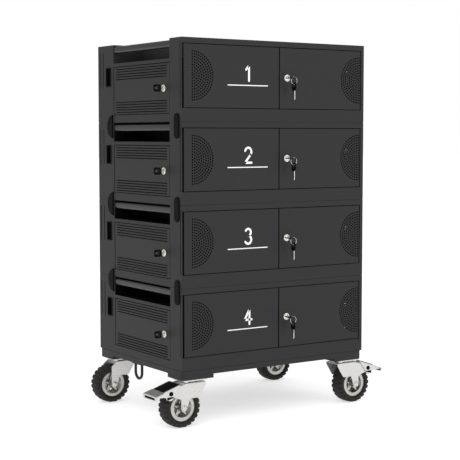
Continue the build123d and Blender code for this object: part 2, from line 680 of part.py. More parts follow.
# Base frame: a rail all round, four corner pads and a towing ring under the left rail
with BuildPart() as base_frame:
    base_z = (CASTER_HEIGHT + PAD_TALL, BASE_TOP)
    block((LEFT, RIGHT), (FRONT, BACK), base_z)
    block((LEFT + BASE_RAIL_WIDTH, RIGHT - BASE_RAIL_WIDTH),
          (FRONT + BASE_RAIL_WIDTH, BACK - BASE_RAIL_WIDTH), base_z, Mode.SUBTRACT)
    for x in ((LEFT, LEFT + PAD_LENGTH), (RIGHT - PAD_LENGTH, RIGHT)):
        for y in ((FRONT, FRONT + PAD_WIDTH), (BACK - PAD_WIDTH, BACK)):
            block(x, y, (CASTER_HEIGHT, CASTER_HEIGHT + PAD_TALL))
    corners = base_frame.edges().filter_by(Axis.Z).filter_by(
        lambda edge: abs(edge.center().X) > RIGHT - 1 and (
            edge.center().Y < FRONT + 1 or edge.center().Y > BACK - 1)
    )
    chamfer(corners, PAD_CHAMFER)

with BuildPart() as tow_ring:
    ring_top = CASTER_HEIGHT + PAD_TALL - TOW_RING_WIRE_RADIUS
    half = TOW_RING_WIDTH / 2 - TOW_RING_WIRE_RADIUS
    ring_y = (BACK + FRONT) / 2 + TOW_RING_CENTRE - BODY_DEPTH / 2
    low = ring_top - TOW_RING_DROP + 2 * TOW_RING_WIRE_RADIUS
    with BuildLine(side_plane(LEFT + TOW_RING_FROM_SIDE)) as loop:
        Line((ring_y - half, ring_top), (ring_y - half, low + half))
        ThreePointArc((ring_y - half, low + half), (ring_y, low), (ring_y + half, low + half))
        Line((ring_y + half, low + half), (ring_y + half, ring_top))
    with BuildSketch(Plane(origin=loop.line @ 0, z_dir=loop.line % 0)):
        Circle(TOW_RING_WIRE_RADIUS)
    sweep()
    block((LEFT + TOW_RING_FROM_SIDE - 2 * TOW_RING_WIRE_RADIUS,
           LEFT + TOW_RING_FROM_SIDE + 2 * TOW_RING_WIRE_RADIUS),
          (ring_y - TOW_RING_WIDTH / 2 - TOW_RING_WIRE_RADIUS,
           ring_y + TOW_RING_WIDTH / 2 + TOW_RING_WIRE_RADIUS),
          (ring_top - TOW_RING_WIRE_RADIUS / 2, CASTER_HEIGHT + PAD_TALL))

save_group([base_frame.part, tow_ring.part], "base_frame")

# Casters, drawn for the front left corner: the fork turns about the swivel, the wheel trails outwards
SWIVEL_X = LEFT + SWIVEL_FROM_SIDE
SWIVEL_Y = FRONT + SWIVEL_FROM_END
AXLE_X = SWIVEL_X - CASTER_TRAIL

with BuildPart() as top_plate:
    with BuildSketch(Plane.XY.offset(CASTER_HEIGHT)):
        with Locations((SWIVEL_X, SWIVEL_Y)):
            RectangleRounded(TOP_PLATE_SIZE, TOP_PLATE_SIZE, BOLT_INSET / 2)
    extrude(amount=-TOP_PLATE_THICK)
    with BuildSketch(Plane.XY.offset(CASTER_HEIGHT - TOP_PLATE_THICK)):
        with Locations((SWIVEL_X, SWIVEL_Y)):
            Circle(RACE_RADIUS)
    extrude(amount=-RACE_THICK, taper=RACE_TAPER)
    with BuildSketch(Plane.XY.offset(CASTER_HEIGHT - TOP_PLATE_THICK)):
        with Locations((SWIVEL_X, SWIVEL_Y)):
            with GridLocations(TOP_PLATE_SIZE - 2 * BOLT_INSET, TOP_PLATE_SIZE - 2 * BOLT_INSET, 2, 2):
                RegularPolygon(BOLT_HEAD_RADIUS, 6)
    extrude(amount=-BOLT_HEAD_THICK)
    with Locations((SWIVEL_X, SWIVEL_Y, CASTER_HEIGHT - TOP_PLATE_THICK - RACE_THICK / 2)):
        Cylinder(KINGPIN_RADIUS + AXLE_CLEARANCE, RACE_THICK + KINGPIN_SINK, mode=Mode.SUBTRACT)


def fork(braked):
    """A caster fork: crown, two cheeks, kingpin and axle bolt, with pedal ears on a braked one."""
    crown_x = (SWIVEL_X - FORK_CROWN_OUTER, SWIVEL_X + FORK_CROWN_INNER)
    with BuildPart() as piece:
        block(crown_x, (SWIVEL_Y - FORK_OUTSIDE, SWIVEL_Y + FORK_OUTSIDE),
              (CROWN_TOP - FORK_THICK, CROWN_TOP))
        with BuildSketch(front_plane(SWIVEL_Y - FORK_OUTSIDE)) as cheek:
            with BuildLine():
                Polyline(
                    (crown_x[0], CROWN_TOP),
                    (crown_x[1], CROWN_TOP),
                    (crown_x[1], CROWN_TOP - FORK_INNER_DROP),
                    (SWIVEL_X + FORK_FOOT_INNER, FORK_FOOT_HEIGHT),
                    (AXLE_X + FORK_NECK, FORK_FOOT_HEIGHT),
                    (AXLE_X + FORK_END_RADIUS, AXLE_HEIGHT),
                    (AXLE_X - FORK_END_RADIUS, AXLE_HEIGHT),
                    (AXLE_X - FORK_END_RADIUS, CROWN_TOP - FORK_OUTER_DROP),
                    close=True,
                )
            make_face()
            with Locations((AXLE_X, AXLE_HEIGHT)):
                Circle(FORK_END_RADIUS)
            if braked:
                pivot_x = SWIVEL_X - PEDAL_PIVOT_OUT
                with BuildLine():
                    Polyline(
                        (crown_x[0], CROWN_TOP),
                        (pivot_x, PEDAL_PIVOT_HEIGHT + PEDAL_EAR_RADIUS),
                        (pivot_x, PEDAL_PIVOT_HEIGHT - PEDAL_EAR_RADIUS),
                        (AXLE_X - FORK_END_RADIUS, FORK_FOOT_HEIGHT),
                        close=True,
                    )
                make_face()
                with Locations((pivot_x, PEDAL_PIVOT_HEIGHT)):
                    Circle(PEDAL_EAR_RADIUS)
                with Locations((pivot_x, PEDAL_PIVOT_HEIGHT)):
                    Circle(PEDAL_BOLT_RADIUS + PEDAL_CLEARANCE, mode=Mode.SUBTRACT)
        extrude(cheek.sketch, amount=-FORK_THICK)
        extrude(cheek.sketch.moved(Location((0, 2 * FORK_OUTSIDE - FORK_THICK, 0))), amount=-FORK_THICK)
        kingpin = RACE_THICK + RACE_CLEARANCE - KINGPIN_SINK
        with Locations((SWIVEL_X, SWIVEL_Y, CROWN_TOP + kingpin / 2)):
            Cylinder(KINGPIN_RADIUS, kingpin)
        with Locations(Location((AXLE_X, SWIVEL_Y, AXLE_HEIGHT), (90, 0, 0))):
            Cylinder(AXLE_RADIUS, 2 * FORK_OUTSIDE)
        for side in (-1, 1):
            with Locations(Location((AXLE_X, SWIVEL_Y + side * (FORK_OUTSIDE + AXLE_HEAD_THICK / 2),
                                     AXLE_HEIGHT), (90, 0, 0))):
                Cylinder(AXLE_HEAD_RADIUS, AXLE_HEAD_THICK)
    return piece.part


# Rim: a hub, spokes and a barrel, turning on the axle bolt
with BuildPart() as rim:
    with BuildSketch(front_plane(SWIVEL_Y)):
        with Locations((AXLE_X, AXLE_HEIGHT)):
            Circle(RIM_RADIUS)
            Circle(RIM_RADIUS - RIM_BAR, mode=Mode.SUBTRACT)
    extrude(amount=RIM_WIDTH / 2, both=True)
    with BuildSketch(front_plane(SWIVEL_Y)):
        with Locations((AXLE_X, AXLE_HEIGHT)):
            with PolarLocations((RIM_RADIUS - RIM_BAR + HUB_RADIUS) / 2, SPOKE_COUNT, start_angle=90):
                Rectangle(RIM_RADIUS - RIM_BAR - HUB_RADIUS + 2 * SPOKE_OVERLAP, SPOKE_WIDTH)
            Circle(HUB_RADIUS)
    extrude(amount=SPOKE_THICK / 2, both=True)
    with BuildSketch(front_plane(SWIVEL_Y)):
        with Locations((AXLE_X, AXLE_HEIGHT)):
            Circle(HUB_RADIUS)
    extrude(amount=HUB_WIDTH / 2, both=True)
    with BuildSketch(front_plane(SWIVEL_Y)):
        with Locations((AXLE_X, AXLE_HEIGHT)):
            Circle(AXLE_RADIUS + AXLE_CLEARANCE)
    extrude(amount=HUB_WIDTH / 2, both=True, mode=Mode.SUBTRACT)

# Tyre: a rounded section turned about the axle, with cross grooves in the tread
with BuildPart() as tyre:
    with BuildSketch(Plane(origin=(AXLE_X, SWIVEL_Y, AXLE_HEIGHT), x_dir=(1, 0, 0), z_dir=(0, 0, 1))):
        with BuildLine():
            side = TYRE_WIDTH / 2
            wall = (RIM_RADIUS + TYRE_WALL_START, WHEEL_RADIUS - TYRE_SHOULDER_TALL)
            tread = side - TYRE_SHOULDER_WIDE
            bulge = (WHEEL_RADIUS - 0.3 * TYRE_SHOULDER_TALL, side - 0.4 * TYRE_SHOULDER_WIDE)
            Line((RIM_RADIUS, TYRE_BEAD - side), (RIM_RADIUS, side - TYRE_BEAD))
            Line((RIM_RADIUS, side - TYRE_BEAD), (wall[0], side))
            Line((wall[0], side), (wall[1], side))
            ThreePointArc((wall[1], side), bulge, (WHEEL_RADIUS, tread))
            Line((WHEEL_RADIUS, tread), (WHEEL_RADIUS, -tread))
            ThreePointArc((WHEEL_RADIUS, -tread), (bulge[0], -bulge[1]), (wall[1], -side))
            Line((wall[1], -side), (wall[0], -side))
            Line((wall[0], -side), (RIM_RADIUS, TYRE_BEAD - side))
        make_face()
    revolve(axis=Axis((AXLE_X, SWIVEL_Y, AXLE_HEIGHT), (0, 1, 0)))
    for start, depth in ((0, TYRE_WIDTH / 2), (180 / TREAD_COUNT, -TYRE_WIDTH / 2)):
        with BuildSketch(front_plane(SWIVEL_Y)) as grooves:
            with Locations((AXLE_X, AXLE_HEIGHT)):
                with PolarLocations(WHEEL_RADIUS, TREAD_COUNT, start_angle=start):
                    Rectangle(2 * TREAD_DEPTH, TREAD_GROOVE)
        extrude(grooves.sketch, amount=depth, mode=Mode.SUBTRACT)


def brake_pedal():
    """A pressed brake pedal with its pivot pin, and the ribbed grip on its top, as two solids."""
    pivot_x = SWIVEL_X - PEDAL_PIVOT_OUT
    inner_x = SWIVEL_X - PEDAL_INNER
    outer_x = SWIVEL_X - PEDAL_OUTER
    flare_x = SWIVEL_X - PEDAL_FLARE_START
    lip_x = outer_x + PEDAL_THICK
    fall = (PEDAL_TOP_INNER - PEDAL_TOP_OUTER) / (inner_x - outer_x)

    def top(x):
        """The height of the sloping tread's top at x."""
        return PEDAL_TOP_OUTER + fall * (x - outer_x)

    with BuildPart() as pedal:
        with BuildSketch(front_plane(SWIVEL_Y)) as tread:
            with BuildLine():
                Polyline((inner_x, top(inner_x)), (outer_x, top(outer_x)),
                         (outer_x, top(outer_x) - PEDAL_THICK), (inner_x, top(inner_x) - PEDAL_THICK),
                         close=True)
            make_face()
        extrude(tread.sketch, amount=PEDAL_WIDTH / 2, both=True)
        with BuildSketch(front_plane(SWIVEL_Y)) as flare:
            with BuildLine():
                Polyline((flare_x, top(flare_x)), (outer_x, top(outer_x)),
                         (outer_x, top(outer_x) - PEDAL_LIP), (lip_x, top(outer_x) - PEDAL_LIP),
                         (lip_x, top(lip_x) - PEDAL_THICK), (flare_x, top(flare_x) - PEDAL_THICK),
                         close=True)
            make_face()
        extrude(flare.sketch, amount=PEDAL_TIP_WIDTH / 2, both=True)
        slot_z = top(outer_x) - (PEDAL_LIP + PEDAL_THICK) / 2
        block((outer_x, lip_x), (SWIVEL_Y - PEDAL_SLOT_LENGTH / 2, SWIVEL_Y + PEDAL_SLOT_LENGTH / 2),
              (slot_z - PEDAL_SLOT_TALL / 2, slot_z + PEDAL_SLOT_TALL / 2), Mode.SUBTRACT)
        lobe_z = PEDAL_PIVOT_HEIGHT - PEDAL_LOBE_DROP
        for side_y in (SWIVEL_Y - PEDAL_WIDTH / 2, SWIVEL_Y + PEDAL_WIDTH / 2 - PEDAL_THICK):
            with BuildSketch(front_plane(side_y)) as flange:
                with BuildLine():
                    Polyline(
                        (inner_x, top(inner_x) - PEDAL_THICK / 2),
                        (lip_x, top(lip_x) - PEDAL_THICK / 2),
                        (lip_x, top(lip_x) - PEDAL_FLANGE_TALL),
                        (pivot_x - PEDAL_LOBE_RADIUS, lobe_z),
                        (pivot_x + PEDAL_LOBE_RADIUS, lobe_z),
                        close=True,
                    )
                make_face()
                with Locations((pivot_x, lobe_z)):
                    Circle(PEDAL_LOBE_RADIUS)
            extrude(flange.sketch, amount=-PEDAL_THICK)
        with Locations(Location((pivot_x, SWIVEL_Y, PEDAL_PIVOT_HEIGHT), (90, 0, 0))):
            Cylinder(PEDAL_BOLT_RADIUS, PEDAL_WIDTH)
        for side in (-1, 1):
            head_y = SWIVEL_Y + side * (PEDAL_WIDTH + PEDAL_HEAD_THICK) / 2
            with Locations(Location((pivot_x, head_y, PEDAL_PIVOT_HEIGHT), (90, 0, 0))):
                Cylinder(PEDAL_HEAD_RADIUS, PEDAL_HEAD_THICK)
    with BuildPart() as grip:
        start_x = SWIVEL_X - GRIP_START
        end_x = start_x - GRIP_LENGTH
        with BuildSketch(front_plane(SWIVEL_Y)):
            with BuildLine():
                Polyline((start_x, top(start_x)), (end_x, top(end_x)),
                         (end_x, top(end_x) + GRIP_THICK), (start_x, top(start_x) + GRIP_THICK),
                         close=True)
            make_face()
        extrude(amount=GRIP_WIDTH / 2, both=True)
        rib_pitch = GRIP_LENGTH / GRIP_RIBS
        with BuildSketch(front_plane(SWIVEL_Y)):
            for rib in range(GRIP_RIBS):
                x = end_x + (rib + 0.5) * rib_pitch
                with Locations((x, top(x) + GRIP_THICK)):
                    Rectangle(rib_pitch / 3, GRIP_THICK, rotation=math.degrees(math.atan(fall)))
        extrude(amount=GRIP_WIDTH / 2, both=True, mode=Mode.SUBTRACT)
    return [pedal.part, grip.part]


def at_corner(piece, right, rear):
    """A front left caster piece, mirrored to the right and moved to the rear as asked."""
    placed = piece.mirror(Plane.YZ) if right else piece
    return placed.moved(Location((0, (BODY_DEPTH - 2 * SWIVEL_FROM_END) if rear else 0, 0)))


plates = []
for corner, right, rear in (("fl", False, False), ("fr", True, False), ("rl", False, True),
                            ("rr", True, True)):
    plates.append(at_corner(top_plate.part, right, rear))
    save(at_corner(fork(not rear), right, rear), f"caster_fork_{corner}")
    save(at_corner(rim.part, right, rear), f"rim_{corner}")
    save(at_corner(tyre.part, right, rear), f"tyre_{corner}")
    if not rear:
        pedal_pieces = [at_corner(piece, right, rear) for piece in brake_pedal()]
        save_group(pedal_pieces, f"brake_pedal_{corner}")
save_group(plates, "caster_plates")
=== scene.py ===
import json
import math

import bmesh
import bpy
import numpy as np
from bpy.props import FloatProperty, FloatVectorProperty, IntProperty, PointerProperty
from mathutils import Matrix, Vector


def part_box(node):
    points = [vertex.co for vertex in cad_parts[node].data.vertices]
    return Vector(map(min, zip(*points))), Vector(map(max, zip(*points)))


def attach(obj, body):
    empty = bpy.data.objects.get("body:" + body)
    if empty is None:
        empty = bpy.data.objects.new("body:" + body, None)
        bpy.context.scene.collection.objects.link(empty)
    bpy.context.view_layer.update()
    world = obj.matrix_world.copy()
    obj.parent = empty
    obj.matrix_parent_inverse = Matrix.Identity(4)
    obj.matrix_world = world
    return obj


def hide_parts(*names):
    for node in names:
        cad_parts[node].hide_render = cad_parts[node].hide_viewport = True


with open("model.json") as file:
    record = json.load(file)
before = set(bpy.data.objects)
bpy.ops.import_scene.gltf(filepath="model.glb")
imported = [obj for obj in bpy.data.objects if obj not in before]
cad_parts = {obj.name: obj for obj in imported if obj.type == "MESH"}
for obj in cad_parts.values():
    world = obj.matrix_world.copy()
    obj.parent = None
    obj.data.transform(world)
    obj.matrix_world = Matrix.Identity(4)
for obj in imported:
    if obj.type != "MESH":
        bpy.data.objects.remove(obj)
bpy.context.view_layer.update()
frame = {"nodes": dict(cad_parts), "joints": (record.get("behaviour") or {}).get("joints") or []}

bl_info = {
    "name": "Charging Cabinet",
    "version": (1, 0, 0),
    "blender": (4, 5, 0),
    "location": "3D View > Sidebar > Cabinet",
    "description": "Finishes and shaped pieces of a laptop charging cabinet",
    "category": "Object",
}

# Shapes are worked out in millimetres and turned into metres in make_piece
MODULES = (1, 2, 3, 4)
CORNERS = ("fl", "fr", "rl", "rr")
JOINTS = {joint["name"]: joint for joint in frame["joints"]}
X, Y, Z = np.eye(3)


def linear(code):
    """An sRGB hex colour as linear red, green and blue."""
    shares = [int(code[start:start + 2], 16) / 255 for start in (1, 3, 5)]
    return [s / 12.92 if s <= 0.04045 else ((s + 0.055) / 1.055) ** 2.4 for s in shares]


def millimetres(length):
    """A length in metres, in millimetres."""
    return length * 1000


def joint_place(name):
    """A joint's place, in millimetres."""
    return 1000 * np.array(JOINTS[name]["pos_m"])


def node_box(name):
    """A CAD node's lowest and highest corner, in millimetres."""
    low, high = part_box(name)
    return 1000 * np.array(low), 1000 * np.array(high)


# The casing's lowest and highest corners, and the pitch of its stacked modules
CASING_LOW, CASING_HIGH = node_box("casing_roofs_and_floors")
MODULE_HEIGHT = joint_place("front_lock_1_turn")[2] - joint_place("front_lock_2_turn")[2]


# Surfaces: each is a grid of points, rows by columns, closed round its columns

def surface(points, ring=False, slot=0, flat=False):
    """The faces of a grid of points that closes round its columns.

    Its rows close on each other as well if it's a ring, and otherwise its first and last row are
    capped with one face each.
    """
    rows, columns = points.shape[:2]
    row = np.arange(rows if ring else rows - 1)[:, None]
    column = np.arange(columns)[None, :]
    after = (column + 1) % columns
    below = (row + 1) % rows
    quads = np.stack([row * columns + column, row * columns + after,
                      below * columns + after, below * columns + column], axis=-1)
    faces = quads.reshape(-1, 4).tolist()
    caps = []
    if not ring:
        caps = [list(range(columns)), [(rows - 1) * columns + c for c in range(columns)]]
    return {"points": points.reshape(-1, 3), "faces": faces, "caps": caps, "slot": slot, "flat": flat}


def make_piece(name, surfaces, materials, body, nodes=()):
    """One object of several closed surfaces, with outward faces, riding on a body.

    It takes the place of any CAD nodes given, and its slot is the finish given.
    """
    points, faces, slots, smooth = [], [], [], []
    start = 0
    for part in surfaces:
        points.append(part["points"])
        for group, is_smooth in ((part["faces"], not part["flat"]), (part["caps"], False)):
            for face in group:
                faces.append([start + corner for corner in face])
                slots.append(part["slot"])
                smooth.append(is_smooth)
        start += len(part["points"])
    mesh = bpy.data.meshes.new(name)
    mesh.from_pydata((np.concatenate(points) * 0.001).tolist(), [], faces)
    mesh.polygons.foreach_set("material_index", slots)
    mesh.polygons.foreach_set("use_smooth", smooth)
    for material in materials:
        mesh.materials.append(bpy.data.materials[material])
    shape = bmesh.new()
    shape.from_mesh(mesh)
    bmesh.ops.recalc_face_normals(shape, faces=shape.faces)
    shape.to_mesh(mesh)
    shape.free()
    piece = bpy.data.objects.new(name, mesh)
    bpy.context.scene.collection.objects.link(piece)
    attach(piece, body)
    if nodes:
        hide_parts(*nodes)
    return piece


def on_axes(local, origin, across, up, out):
    """Local points placed on three directions from an origin."""
    return (np.asarray(origin) + local[..., :1] * np.asarray(across)
            + local[..., 1:2] * np.asarray(up) + local[..., 2:] * np.asarray(out))


def grid(across, up, out):
    """A grid of local points from three arrays, stretched to one shape."""
    return np.stack(np.broadcast_arrays(across, up, out), axis=-1)


def turned(profile, origin, out, ring=False, count=48, slot=0):
    """A profile of (radius, height) points turned about the out direction.

    Each point goes round a circle of its radius at its height.
    """
    across = np.cross(out, Z if abs(np.dot(out, Z)) < 0.9 else X)
    up = np.cross(out, across)
    turn = np.linspace(0, 2 * math.pi, count, endpoint=False)
    profile = np.asarray(profile, float)
    radius, height = profile[:, :1], profile[:, 1:]
    return surface(on_axes(grid(radius * np.cos(turn), radius * np.sin(turn), height),
                           origin, across, up, out), ring, slot)


def rounded(corners, radii, steps=6):
    """A closed outline through the corners, each corner rounded by an arc of its radius."""
    corners = np.asarray(corners, float)
    if np.isscalar(radii):
        radii = [radii] * len(corners)
    outline = []
    for index, corner in enumerate(corners):
        before = corners[index - 1] - corner
        after = corners[(index + 1) % len(corners)] - corner
        before /= np.linalg.norm(before)
        after /= np.linalg.norm(after)
        half = math.acos(np.clip(np.dot(before, after), -1, 1)) / 2
        radius = radii[index]
        if radius <= 0 or half > math.radians(89):
            outline.append([corner])
            continue
        middle = before + after
        centre = corner + middle / np.linalg.norm(middle) * radius / math.sin(half)
        first = corner + before * radius / math.tan(half) - centre
        last = corner + after * radius / math.tan(half) - centre
        share = np.linspace(0, 1, steps + 1)[:, None]
        spokes = first * (1 - share) + last * share
        outline.append(centre + spokes * radius / np.linalg.norm(spokes, axis=1, keepdims=True))
    return np.vstack(outline)


def inset(outline, amount):
    """An outline moved inwards by an amount, along the middle of each pair of edges."""
    area = np.sum(outline[:, 0] * np.roll(outline[:, 1], -1) - outline[:, 1] * np.roll(outline[:, 0], -1))
    before = outline - np.roll(outline, 1, axis=0)
    after = np.roll(outline, -1, axis=0) - outline
    before /= np.linalg.norm(before, axis=1, keepdims=True)
    after /= np.linalg.norm(after, axis=1, keepdims=True)
    normals = [np.stack([-side[:, 1], side[:, 0]], axis=1) * np.sign(area) for side in (before, after)]
    middle = normals[0] + normals[1]
    spread = np.maximum(1 + np.sum(normals[0] * normals[1], axis=1, keepdims=True), 0.4)
    return outline + middle / spread * amount


def layers(thickness, edge, steps=3):
    """Pairs of (inset, height) over a plate's rounded edge, from its back to its front."""
    turn = np.linspace(0, math.pi / 2, steps + 1)
    back = [(edge * (1 - math.sin(t)), edge * (1 - math.cos(t))) for t in turn]
    front = [(inward, thickness - height) for inward, height in reversed(back)]
    return back + front


def at_height(outline, height):
    """An outline's points with a height added to each."""
    return np.column_stack([outline, np.full(len(outline), height)])


def plate(outline, thickness, edge, origin, across, up, out, slot=0):
    """A plate on an outline, from its origin's plane to its thickness, with rounded edges."""
    rows = [at_height(inset(outline, inward), height) for inward, height in layers(thickness, edge)]
    return surface(on_axes(np.array(rows), origin, across, up, out), slot=slot)


def holed_plate(outline, hole, thickness, edge, origin, across, up, out):
    """A plate with a hole, whose outline and hole have equally many points."""
    rows = [at_height(inset(outline, inward), height) for inward, height in layers(thickness, edge)]
    rows = [at_height(hole, 0), *rows, at_height(hole, thickness)]
    return surface(on_axes(np.array(rows), origin, across, up, out), True)


def arc(centre, reach, start, end, count):
    """Points on a circle or an ellipse between two angles in degrees, both ends included."""
    turn = np.radians(np.linspace(start, end, count))
    return np.asarray(centre) + np.column_stack([np.cos(turn), np.sin(turn)]) * reach


def by_angle(outline, centre, count):
    """An outline's points at even angles about a centre inside it, and those angles."""
    spokes = outline - np.asarray(centre)
    angles = np.unwrap(np.arctan2(spokes[:, 1], spokes[:, 0]))
    if angles[-1] < angles[0]:
        spokes, angles = spokes[::-1], angles[::-1]
    angles = np.append(angles, angles[0] + 2 * math.pi)
    spokes = np.vstack([spokes, spokes[:1]])
    wanted = angles[0] + np.linspace(0, 2 * math.pi, count, endpoint=False)
    rays = np.column_stack([np.interp(wanted, angles, spokes[:, axis]) for axis in (0, 1)])
    return rays + centre, wanted


def box_outline(width, height, centre=(0, 0)):
    """The four corners of a rectangle."""
    x, y = width / 2, height / 2
    return np.array([(-x, -y), (x, -y), (x, y), (-x, y)]) + np.asarray(centre)


def superellipse(turn, power):
    """Cosine and sine of an angle, each raised to a power and keeping its sign."""
    across, up = np.cos(turn), np.sin(turn)
    return np.sign(across) * np.abs(across) ** power, np.sign(up) * np.abs(up) ** power


def smoothstep(low, high, values):
    """Zero below low, one above high and an even ease between."""
    share = np.clip((values - low) / (high - low), 0, 1)
    return share * share * (3 - 2 * share)


# Materials

def add_node(tree, kind, sockets=None, **settings):
    """One new node. A socket gets a plain value, or a link if the value is another node's output."""
    node = tree.nodes.new(kind)
    for name, value in settings.items():
        setattr(node, name, value)
    for name, value in (sockets or {}).items():
        if isinstance(value, bpy.types.NodeSocket):
            tree.links.new(value, node.inputs[name])
        else:
            node.inputs[name].default_value = value
    return node


def new_material(name, colour, roughness, metallic=0.0, gloss=0.5):
    """A material with uniform values, its node tree, its shader and its object coordinates."""
    material = bpy.data.materials.new(name)
    material.use_nodes = True
    tree = material.node_tree
    shader = tree.nodes["Principled BSDF"]
    shader.inputs["Base Color"].default_value = (*colour, 1)
    shader.inputs["Roughness"].default_value = roughness
    shader.inputs["Metallic"].default_value = metallic
    shader.inputs["Specular IOR Level"].default_value = gloss
    coordinates = add_node(tree, "ShaderNodeTexCoord").outputs["Object"]
    return tree, shader, coordinates


def add_grain(tree, shader, coordinates, grain, depth):
    """A bumpy surface with grains of one size and depth, in metres."""
    noise = add_node(tree, "ShaderNodeTexNoise", {
        "Vector": coordinates, "Scale": 1 / grain, "Detail": 2.0})
    bump = add_node(tree, "ShaderNodeBump", {
        "Height": noise.outputs["Fac"], "Distance": depth, "Strength": 0.6})
    tree.links.new(bump.outputs["Normal"], shader.inputs["Normal"])


def add_wear(tree, shader, coordinates, patch, low, high):
    """A roughness that drifts between two values over patches of one size, in metres."""
    noise = add_node(tree, "ShaderNodeTexNoise", {
        "Vector": coordinates, "Scale": 1 / patch, "Detail": 3.0})
    level = add_node(tree, "ShaderNodeMapRange", {
        "Value": noise.outputs["Fac"], "From Min": 0.3, "From Max": 0.7, "To Min": low, "To Max": high})
    tree.links.new(level.outputs["Result"], shader.inputs["Roughness"])


FINISHES = {
    "textured_charcoal_powder": ("casing", "side_bay", "front_frames", "front_door", "side_door",
                                 "base_frame", "laptop_shelves"),
    "bright_zinc": ("caster_plates", "caster_fork", "brake_pedal"),
    "polished_die_casting": ("rim",),
    "polished_nickel": ("front_lock", "side_lock"),
    "ribbed_rubber": ("tyre",),
    "moulded_black_plastic": ("power_strips", "power_inlets", "module_clips"),
    "glossy_key_plastic": ("front_key", "side_key", "spare_key"),
    "satin_black_bar": ("handle_bars", "hinge_pins"),
}


class FinishSettings(bpy.types.PropertyGroup):
    """Colours and surface of the finishes."""

    powder_colour: FloatVectorProperty(
        name="Powder coat", description="Colour of the coated steel casing",
        subtype="COLOR", default=linear("#252526"), min=0, max=1)
    powder_grain: FloatProperty(
        name="Powder grain", description="Size of the powder coat's fine texture",
        unit="LENGTH", default=0.0012, min=0.0002, max=0.01, precision=4)
    # Share of colour and gloss kept on the inner faces, where shade is painted into the powder coat
    inside_shade_share: FloatProperty(
        name="Inside brightness", description="Brightness of the inner faces beside the outer ones",
        default=0.22, min=0, max=1)
    zinc_colour: FloatVectorProperty(
        name="Zinc", description="Colour of the plated caster steel",
        subtype="COLOR", default=linear("#CBCAC8"), min=0, max=1)
    rim_colour: FloatVectorProperty(
        name="Rim", description="Colour of the cast wheel centres",
        subtype="COLOR", default=linear("#B9B7B3"), min=0, max=1)
    tyre_colour: FloatVectorProperty(
        name="Tyre", description="Colour of the tyres",
        subtype="COLOR", default=linear("#242321"), min=0, max=1)
    plastic_colour: FloatVectorProperty(
        name="Plastic", description="Colour of the moulded pieces",
        subtype="COLOR", default=linear("#0B0B0B"), min=0, max=1)


class CABINET_OT_finishes(bpy.types.Operator):
    """Make the finishes and give each CAD node its own"""

    bl_idname = "cabinet.finishes"
    bl_label = "Finishes"

    def execute(self, context):
        settings = context.scene.cabinet_finishes
        # Steel sheet, coated with a fine-textured satin charcoal powder
        tree, shader, place = new_material("textured_charcoal_powder", settings.powder_colour, 0.55,
                                           gloss=0.25)
        add_grain(tree, shader, place, settings.powder_grain, 0.00005)
        # Painted shade: the inner faces, lower recesses and faces behind holes are darkened in colour and
        # gloss
        self.paint_inside_shade(tree, shader, place, settings.inside_shade_share)
        # Pressed steel with bright zinc plating, slightly uneven
        tree, shader, place = new_material("bright_zinc", settings.zinc_colour, 0.3, 0.7)
        add_wear(tree, shader, place, 0.02, 0.24, 0.36)
        # Cast aluminium, tumbled bright
        tree, shader, place = new_material("polished_die_casting", settings.rim_colour, 0.35, 1.0)
        add_grain(tree, shader, place, 0.004, 0.00005)
        # Lock faces and keys, polished and nickel plated
        new_material("polished_nickel", linear("#E3E0DA"), 0.18, 1.0)
        # Solid rubber, moulded in ribs, with a dull skin
        tree, shader, place = new_material("ribbed_rubber", settings.tyre_colour, 0.75, gloss=0.25)
        add_grain(tree, shader, place, 0.0015, 0.0001)
        # Injection-moulded plastic with a fine etched texture
        tree, shader, place = new_material("moulded_black_plastic", settings.plastic_colour, 0.5,
                                           gloss=0.04)
        add_grain(tree, shader, place, 0.0008, 0.00003)
        # Key heads, moulded smooth
        new_material("glossy_key_plastic", settings.plastic_colour, 0.32, gloss=0.15)
        # Tube in satin black paint
        new_material("satin_black_bar", settings.plastic_colour, 0.36)
        # Screen-printed white ink
        new_material("white_print", linear("#F1F1F1"), 0.5)
        for finish, prefixes in FINISHES.items():
            for name, node in frame["nodes"].items():
                if name.startswith(prefixes):
                    node.data.materials.clear()
                    node.data.materials.append(bpy.data.materials[finish])
        return {"FINISHED"}

    def paint_inside_shade(self, tree, shader, place, share):
        """Colour and gloss times a share on the inner faces. This is painted shade: it darkens the inside
        of the casing, the lower side recesses and what shows through holes and slots.

        The inside is the box just within the outer sheets, without the open recesses at the top.
        """
        low, high = CASING_LOW / 1000, CASING_HIGH / 1000
        # Just within the sheets, within the walls of the side bays, and below the topmost recess
        sheet, bay, recess = 0.0016, 0.1005, 0.062
        axes = add_node(tree, "ShaderNodeSeparateXYZ", {"Vector": place}).outputs
        inside = 1.0
        for axis, start, end in zip("XYZ", low, high):
            within = self.between(tree, axes[axis], start + sheet, end - sheet)
            inside = self.calculate(tree, "MULTIPLY", inside, within)
        middle = self.between(tree, axes["X"], low[0] + bay, high[0] - bay)
        lower = self.between(tree, axes["Z"], low[2], high[2] - recess)
        closed = self.calculate(tree, "MAXIMUM", middle, lower)
        inside = self.calculate(tree, "MULTIPLY", inside, closed)
        scale = self.calculate(tree, "MULTIPLY_ADD", inside, share - 1, 1.0)
        colour = add_node(tree, "ShaderNodeVectorMath", {
            "Vector": tuple(shader.inputs["Base Color"].default_value)[:3], "Scale": scale},
            operation="SCALE")
        gloss = self.calculate(tree, "MULTIPLY", scale, shader.inputs["Specular IOR Level"].default_value)
        tree.links.new(colour.outputs["Vector"], shader.inputs["Base Color"])
        tree.links.new(gloss, shader.inputs["Specular IOR Level"])

    def between(self, tree, value, low, high):
        """One between two values and zero elsewhere."""
        return self.calculate(tree, "COMPARE", value, (low + high) / 2, (high - low) / 2)

    def calculate(self, tree, operation, *values):
        """The output of one math node."""
        return add_node(tree, "ShaderNodeMath", dict(enumerate(values)), operation=operation).outputs[0]


# Casters

